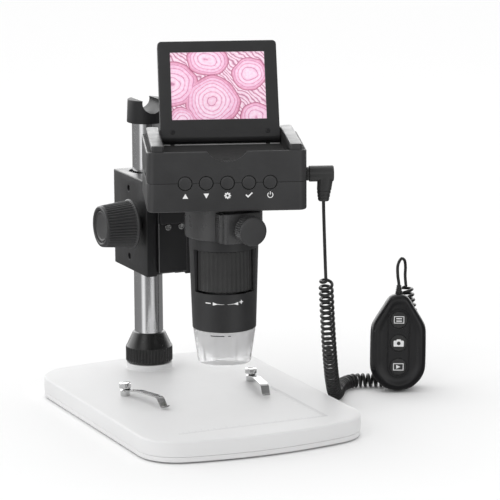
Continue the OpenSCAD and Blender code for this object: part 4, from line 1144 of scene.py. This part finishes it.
# ------------------------------------------------------------------ plug
PLF = HEAD @ Matrix.Translation((0, -28, 0))
hor = lathe("h", rounded([(0.01, 58.4), (5.0, 58.4), (5.0, 60.7), (5.85, 60.7), (5.85, 78.6), (0.01, 78.6)], 0.75, 6), PLF @ Matrix.Translation((0, 0, 199)) @ Matrix.Rotation(pi / 2, 4, "Y"), 72, M["plug"])
secs = []
for z, cx, rx, ry in ((199.6, 72.6, 5.6, 5.6), (196, 72.55, 5.75, 5.7), (192.5, 72.25, 5.55, 5.5), (188.5, 71.85, 5.3, 5.2), (186.9, 71.7, 5.2, 5.05), (186.75, 71.68, 4.75, 4.6), (186.35, 71.6, 4.75, 4.6),
                      (186.2, 71.6, 5.05, 4.9), (184.4, 71.5, 4.85, 4.7), (184.3, 71.48, 4.4, 4.3), (183.5, 71.45, 4.4, 4.3), (183.4, 71.43, 4.7, 4.5), (181.8, 71.38, 4.45, 4.3), (181.7, 71.37, 4.05, 3.9),
                      (180.9, 71.33, 4.05, 3.9), (180.8, 71.33, 4.3, 4.1), (179.3, 71.3, 3.95, 3.8), (178.9, 71.3, 3.6, 3.5), (178.7, 71.3, 3.1, 3.0), (178.72, 71.3, 1.3, 1.3), (178.74, 71.3, 0.02, 0.02)):
    ring_ = []
    for k in range(48):
        a = 2 * pi * k / 48
        ca, sa = cos(a), sin(a)
        p_ = 2.5
        ring_.append((cx + rx * math.copysign(abs(ca) ** (2 / p_), ca), ry * math.copysign(abs(sa) ** (2 / p_), sa), z))
    secs.append(ring_)
legp = loft("l", secs, PLF, M["plug"], True, 40)
pin = cyl("plug_pin", 1.75, (45, 0, 199), (58.5, 0, 199), 32, PLF, M["brass"])
done(join("jack_plug", [hor, legp, pin]), "head", "gloss_black", "plug")

# ------------------------------------------------------------------ remote
REM_CTL = [(-6.6, 1.15), (0, 0), (6.6, 1.15), (12.0, 3.6), (17.0, 8.3), (20.0, 13.2), (21.4, 18.2), (21.7, 26), (21.7, 38),
           (21.45, 48), (20.3, 53), (17.6, 58), (13.2, 65), (8.8, 72), (6.3, 74.6), (3.2, 75.9), (0, 76.3), (-3.2, 75.9)]
half = [(q.x, q.y) for q in catmull([Vector(p) for p in REM_CTL], 5)]
REM_OUT = half + [(-x, z) for x, z in half[-2:0:-1]]


def shrink(d):
    return [(x * (1 - d / 21.9), 35.5 + (z - 35.5) * (1 - d / 38.6)) for x, z in REM_OUT]


def rem_shell(name, prof):
    return loft(name, [[(x, y, z) for x, z in shrink(d)] for d, y in prof], REMOTE, M["gloss"], True, 28)


front = rem_shell("remote_front_shell", [(3.5, -0.08), (0.45, -0.08), (0.2, -0.14), (0.1, -0.35), (0.0, -1.2), (0.05, -2.6), (0.35, -3.8), (1.0, -4.95), (1.9, -5.8), (2.9, -6.35), (3.9, -6.65), (4.9, -6.7),
                                         (5.9, -6.5), (7.2, -6.05), (8.6, -5.75), (10, -5.65), (14, -5.65)])
backs = rem_shell("remote_back_shell", [(3.5, 0.08), (0.45, 0.08), (0.2, 0.14), (0.1, 0.35), (0.0, 1.2), (0.05, 2.6), (0.4, 4.0), (1.2, 5.2), (2.3, 6.1), (3.6, 6.6), (5.2, 6.75), (12, 6.75)])
RBZ = (19.2, 37.9, 56.1)


def stadium(hw, z0, z1, n=14):
    return arc(0, z1, hw, 0, 180, n) + arc(0, z0, hw, 180, 360, n)


# a raised lip round the buttons, with a slightly sunk floor inside it
lipr = []
for hw, y in ((8.75, -5.5), (8.75, -6.0), (8.65, -6.2), (8.45, -6.3), (8.2, -6.28), (8.0, -6.15), (7.9, -5.9), (7.85, -5.55)):
    lipr.append([(x, y, z) for x, z in stadium(hw, RBZ[0], RBZ[2])])
lipo = loft("lip", lipr, REMOTE, M["gloss"], True, 40, cap=False)
for z in RBZ:
    cut(front, cyl("c", 6.85, (0, -9, z), (0, -2.3, z), 64, REMOTE))
shade(front, 30)
done(join("remote_front_shell", [front, lipo]), "root", "gloss_black", "remote_front")
scr_r = []
for x in (-9, 9):
    cut(backs, cyl("c", 2.0, (x, 5.6, 22), (x, 8, 22), 40, REMOTE))
    scr_r.append(lathe("s", rounded([(0.01, 5.4), (1.9, 5.4), (1.9, 6.3), (0.01, 6.4)], 0.3, 3), REMOTE @ Matrix.Translation((x, 0, 22)) @ Matrix.Rotation(-pi / 2, 4, "X"), 32, M["steel"]))
shade(backs, 30)
done(join("remote_back_shell", [backs] + scr_r), "root", "gloss_black", "remote_back")
for i, z in enumerate(RBZ):
    at = REMOTE @ frame_to((0, 0, z), (0, -1, 0), (1, 0, 0))
    o = lathe("remote_button", [(0.01, 3.3), (6.4, 3.3), (6.6, 3.5), (6.6, 5.5), (6.5, 5.8), (6.25, 6.02), (5.8, 6.14), (5.0, 6.2), (3, 6.24), (0.01, 6.26)], at, 72, M["rubber"])
    fl = REMOTE @ Matrix.Translation((0, -6.245, z))
    if i == 2:
        loops = [[(-4.0, -2.8), (4.0, -2.8), (4.0, -2.25), (-4.0, -2.25)], [(-4.0, 2.25), (4.0, 2.25), (4.0, 2.8), (-4.0, 2.8)], [(-4.0, -2.3), (-3.45, -2.3), (-3.45, 2.3), (-4.0, 2.3)], [(3.45, -2.3), (4.0, -2.3), (4.0, 2.3), (3.45, 2.3)]]
        loops += [[(-2.2, h - 0.42), (2.2, h - 0.42), (2.2, h + 0.42), (-2.2, h + 0.42)] for h in (-0.95, 0.95)]
    elif i == 1:
        top = [(-4.0, 1.9), (-4.0, 1.2)]
        loops = []
        # body of the camera as four pieces round its lens
        hole = [(1.45 * cos(a), -0.25 + 1.45 * sin(a)) for a in [2 * pi * k / 32 for k in range(33)]]
        outer_ = []
        for k in range(33):
            a = 2 * pi * k / 32
            ca, sa = cos(a), sin(a)
            t = min(4.0 / max(1e-6, abs(ca)), (2.2 if sa > 0 else 2.55) / max(1e-6, abs(sa)))
            outer_.append((t * ca, -0.25 + t * sa))
        loops += [[hole[k], outer_[k], outer_[k + 1], hole[k + 1]] for k in range(32)]
        loops.append([(-1.9, 1.94), (1.9, 1.94), (1.35, 2.9), (-1.35, 2.9)])
    else:
        loops = [[(-4.1, -2.8), (4.1, -2.8), (4.1, -2.2), (-4.1, -2.2)], [(-4.1, 2.2), (4.1, 2.2), (4.1, 2.8), (-4.1, 2.8)], [(-4.1, -2.25), (-3.5, -2.25), (-3.5, 2.25), (-4.1, 2.25)], [(3.5, -2.25), (4.1, -2.25), (4.1, 2.25), (3.5, 2.25)],
                 [(-1.7, -1.6), (1.6, 0), (-1.7, 1.6)]]
    icon = flat_shape("ri", loops, fl, M["mark"], 0.05)
    done(join(f"remote_button_{i + 1}", [o, icon]), f"remote_btn_{i + 1}", "wheel_rubber", f"remote_btn_{i + 1}")
rel = [(0.01, -5.4), (2.25, -5.4), (2.25, 0.0), (2.95, 0.1), (3.0, 0.4)]
for k in range(4):
    z0_ = 0.9 + 1.35 * k
    r0 = 2.85 - 0.24 * k
    rel += [(r0, z0_), (r0 - 0.5, z0_ + 0.08), (r0 - 0.5, z0_ + 0.5), (r0 - 0.1, z0_ + 0.58), (r0 - 0.12, z0_ + 1.2)]
rel += [(1.75, 6.6), (1.5, 6.8), (0.01, 6.8)]
rl = lathe("remote_relief_sleeve", rel, REMOTE @ Matrix.Translation((0, 0, 76.3)), 40, M["cord"])
done(rl, "root", "cord_black", "remote_relief")

# ------------------------------------------------------------------ floor and light
# A soft studio: a bright wall behind, a dim front with two tall soft boxes. What lights the
# object is even; what its glossy surfaces mirror is this studio.
def ramp_node(nt, fac, stops):
    r = nt.nodes.new("ShaderNodeValToRGB")
    el = r.color_ramp.elements
    while len(el) < len(stops):
        el.new(0.5)
    for e_, (p, v) in zip(el, stops):
        e_.position = p
        e_.color = (v, v, v, 1)
    nt.links.new(fac, r.inputs["Fac"])
    return r.outputs["Color"]


def mnode(nt, op, *args, clamp=False):
    x = nt.nodes.new("ShaderNodeMath")
    x.operation = op
    x.use_clamp = clamp
    for i, v in enumerate(args):
        if isinstance(v, (int, float)):
            x.inputs[i].default_value = v
        else:
            nt.links.new(v, x.inputs[i])
    return x.outputs[0]


FRONT_TURN = 24.0        # the studio's front lies this many degrees to the left of -Y


def azimuth(nt, vec):
    """angle from the studio's front as 0..1, with 0.5 at the front; and the parts of the vector."""
    rot = nt.nodes.new("ShaderNodeVectorRotate")
    rot.rotation_type = "Z_AXIS"
    rot.inputs["Angle"].default_value = radians(FRONT_TURN)
    nt.links.new(vec, rot.inputs["Vector"])
    sep = nt.nodes.new("ShaderNodeSeparateXYZ")
    nt.links.new(rot.outputs[0], sep.inputs[0])
    a = mnode(nt, "ARCTAN2", sep.outputs["X"], mnode(nt, "MULTIPLY", sep.outputs["Y"], -1.0))
    return mnode(nt, "MULTIPLY_ADD", a, 1 / (2 * pi), 0.5), sep


def deg(*pairs):
    return [((a + 180) / 360, v) for a, v in pairs]


BOXES = deg((-180, .20), (-120, .24), (-66, .26), (-58, .30), (-50, .85), (-40, 1.0), (-30, .92), (-23, .42), (-16, .24), (11, .21), (18, .34), (27, .74), (37, .76),
            (47, .45), (54, .22), (60, .10), (66, .12), (76, .17), (120, .20), (180, .20))
floor = box("floor", (-6000, -6000, -20), (6000, 6000, 0))
fm = material("floor", (0.93, 0.93, 0.93), 0.8, spec=0.0, bumps=(("noise", 30, 0.01, 0.001),), var=0.003, var_scale=2, rough_var=0.03)
floor.data.materials.append(fm)
nt = fm.node_tree
out = [x for x in nt.nodes if x.type == "OUTPUT_MATERIAL"][0]
surf = out.inputs["Surface"].links[0].from_socket
geo = nt.nodes.new("ShaderNodeNewGeometry")
off = nt.nodes.new("ShaderNodeVectorMath")
off.operation = "SUBTRACT"
off.inputs[1].default_value = (0, 0.0971, 0)
nt.links.new(geo.outputs["Position"], off.inputs[0])
t, _ = azimuth(nt, off.outputs[0])
em = nt.nodes.new("ShaderNodeEmission")
nt.links.new(ramp_node(nt, t, BOXES), em.inputs["Color"])
em.inputs["Strength"].default_value = 1.0
lp = nt.nodes.new("ShaderNodeLightPath")
mx = nt.nodes.new("ShaderNodeMixShader")
nt.links.new(lp.outputs["Is Glossy Ray"], mx.inputs[0])
nt.links.new(surf, mx.inputs[1])
nt.links.new(em.outputs[0], mx.inputs[2])
nt.links.new(mx.outputs[0], out.inputs["Surface"])

world = bpy.data.worlds.new("studio")
scene.world = world
world.use_nodes = True
nt = world.node_tree
bg = nt.nodes["Background"]
tc = nt.nodes.new("ShaderNodeTexCoord")
t, sep = azimuth(nt, tc.outputs["Generated"])
front = ramp_node(nt, t, BOXES)
wall = ramp_node(nt, t, deg((-180, 1), (-100, 1), (-76, 0), (112, 0), (142, 1), (180, 1)))
high = ramp_node(nt, sep.outputs["Z"], [(0.0, 1.0), (0.42, 1.0), (0.75, 0.42), (1.0, 0.35)])
WALL, DIFFUSE = 3.0, 1.045
# a wide soft box in front, above eye height
box_az = ramp_node(nt, t, deg((-180, 0), (-62, 0), (-36, 1), (26, 1), (50, 0), (180, 0)))
box_el = ramp_node(nt, sep.outputs["Z"], [(0.0, 0.0), (0.03, 0.0), (0.13, 1.0), (0.36, 1.0), (0.52, 0.0), (1.0, 0.0)])
soft_box = mnode(nt, "MULTIPLY", mnode(nt, "MULTIPLY", box_az, box_el), 0.75)
front = mnode(nt, "ADD", front, soft_box)
glossy = mnode(nt, "ADD", mnode(nt, "MULTIPLY", mnode(nt, "MULTIPLY", wall, WALL), high), mnode(nt, "MULTIPLY", front, mnode(nt, "SUBTRACT", 1.0, wall)))
lp = nt.nodes.new("ShaderNodeLightPath")


def pick(fac, a, b_):
    return mnode(nt, "ADD", mnode(nt, "MULTIPLY", mnode(nt, "SUBTRACT", 1.0, fac), a), mnode(nt, "MULTIPLY", fac, b_))


# the dome is a little brighter towards the wall than towards the front
lean = mnode(nt, "COSINE", mnode(nt, "MULTIPLY_ADD", t, 2 * pi, -pi + radians(128)))
dome = mnode(nt, "MULTIPLY", mnode(nt, "MULTIPLY_ADD", lean, 0.27, 1.0), DIFFUSE)
val = pick(lp.outputs["Is Camera Ray"], pick(lp.outputs["Is Glossy Ray"], dome, glossy), 1.0)
nt.links.new(val, bg.inputs["Strength"])
bg.inputs["Color"].default_value = (1, 1, 1, 1)
scene.view_settings.view_transform = "Standard"
scene.view_settings.look = "None"


def area(name, loc, target, size, power, color=(1, 1, 1)):
    ld = bpy.data.lights.new(name, "AREA")
    ld.shape = "RECTANGLE"
    ld.size, ld.size_y = size
    ld.energy = power
    ld.color = color
    ld.specular_factor = 0.25
    o = bpy.data.objects.new(name, ld)
    scene.collection.objects.link(o)
    o.location = loc
    o.rotation_euler = (Vector(target) - Vector(loc)).to_track_quat("-Z", "Y").to_euler()
    return o


area("key", (-1.5, -0.9, 1.7), (0, 0, 0.1), (1.2, 1.2), 4)
area("top", (0.1, 0.3, 1.9), (0, 0, 0.1), (1.6, 1.6), 2)
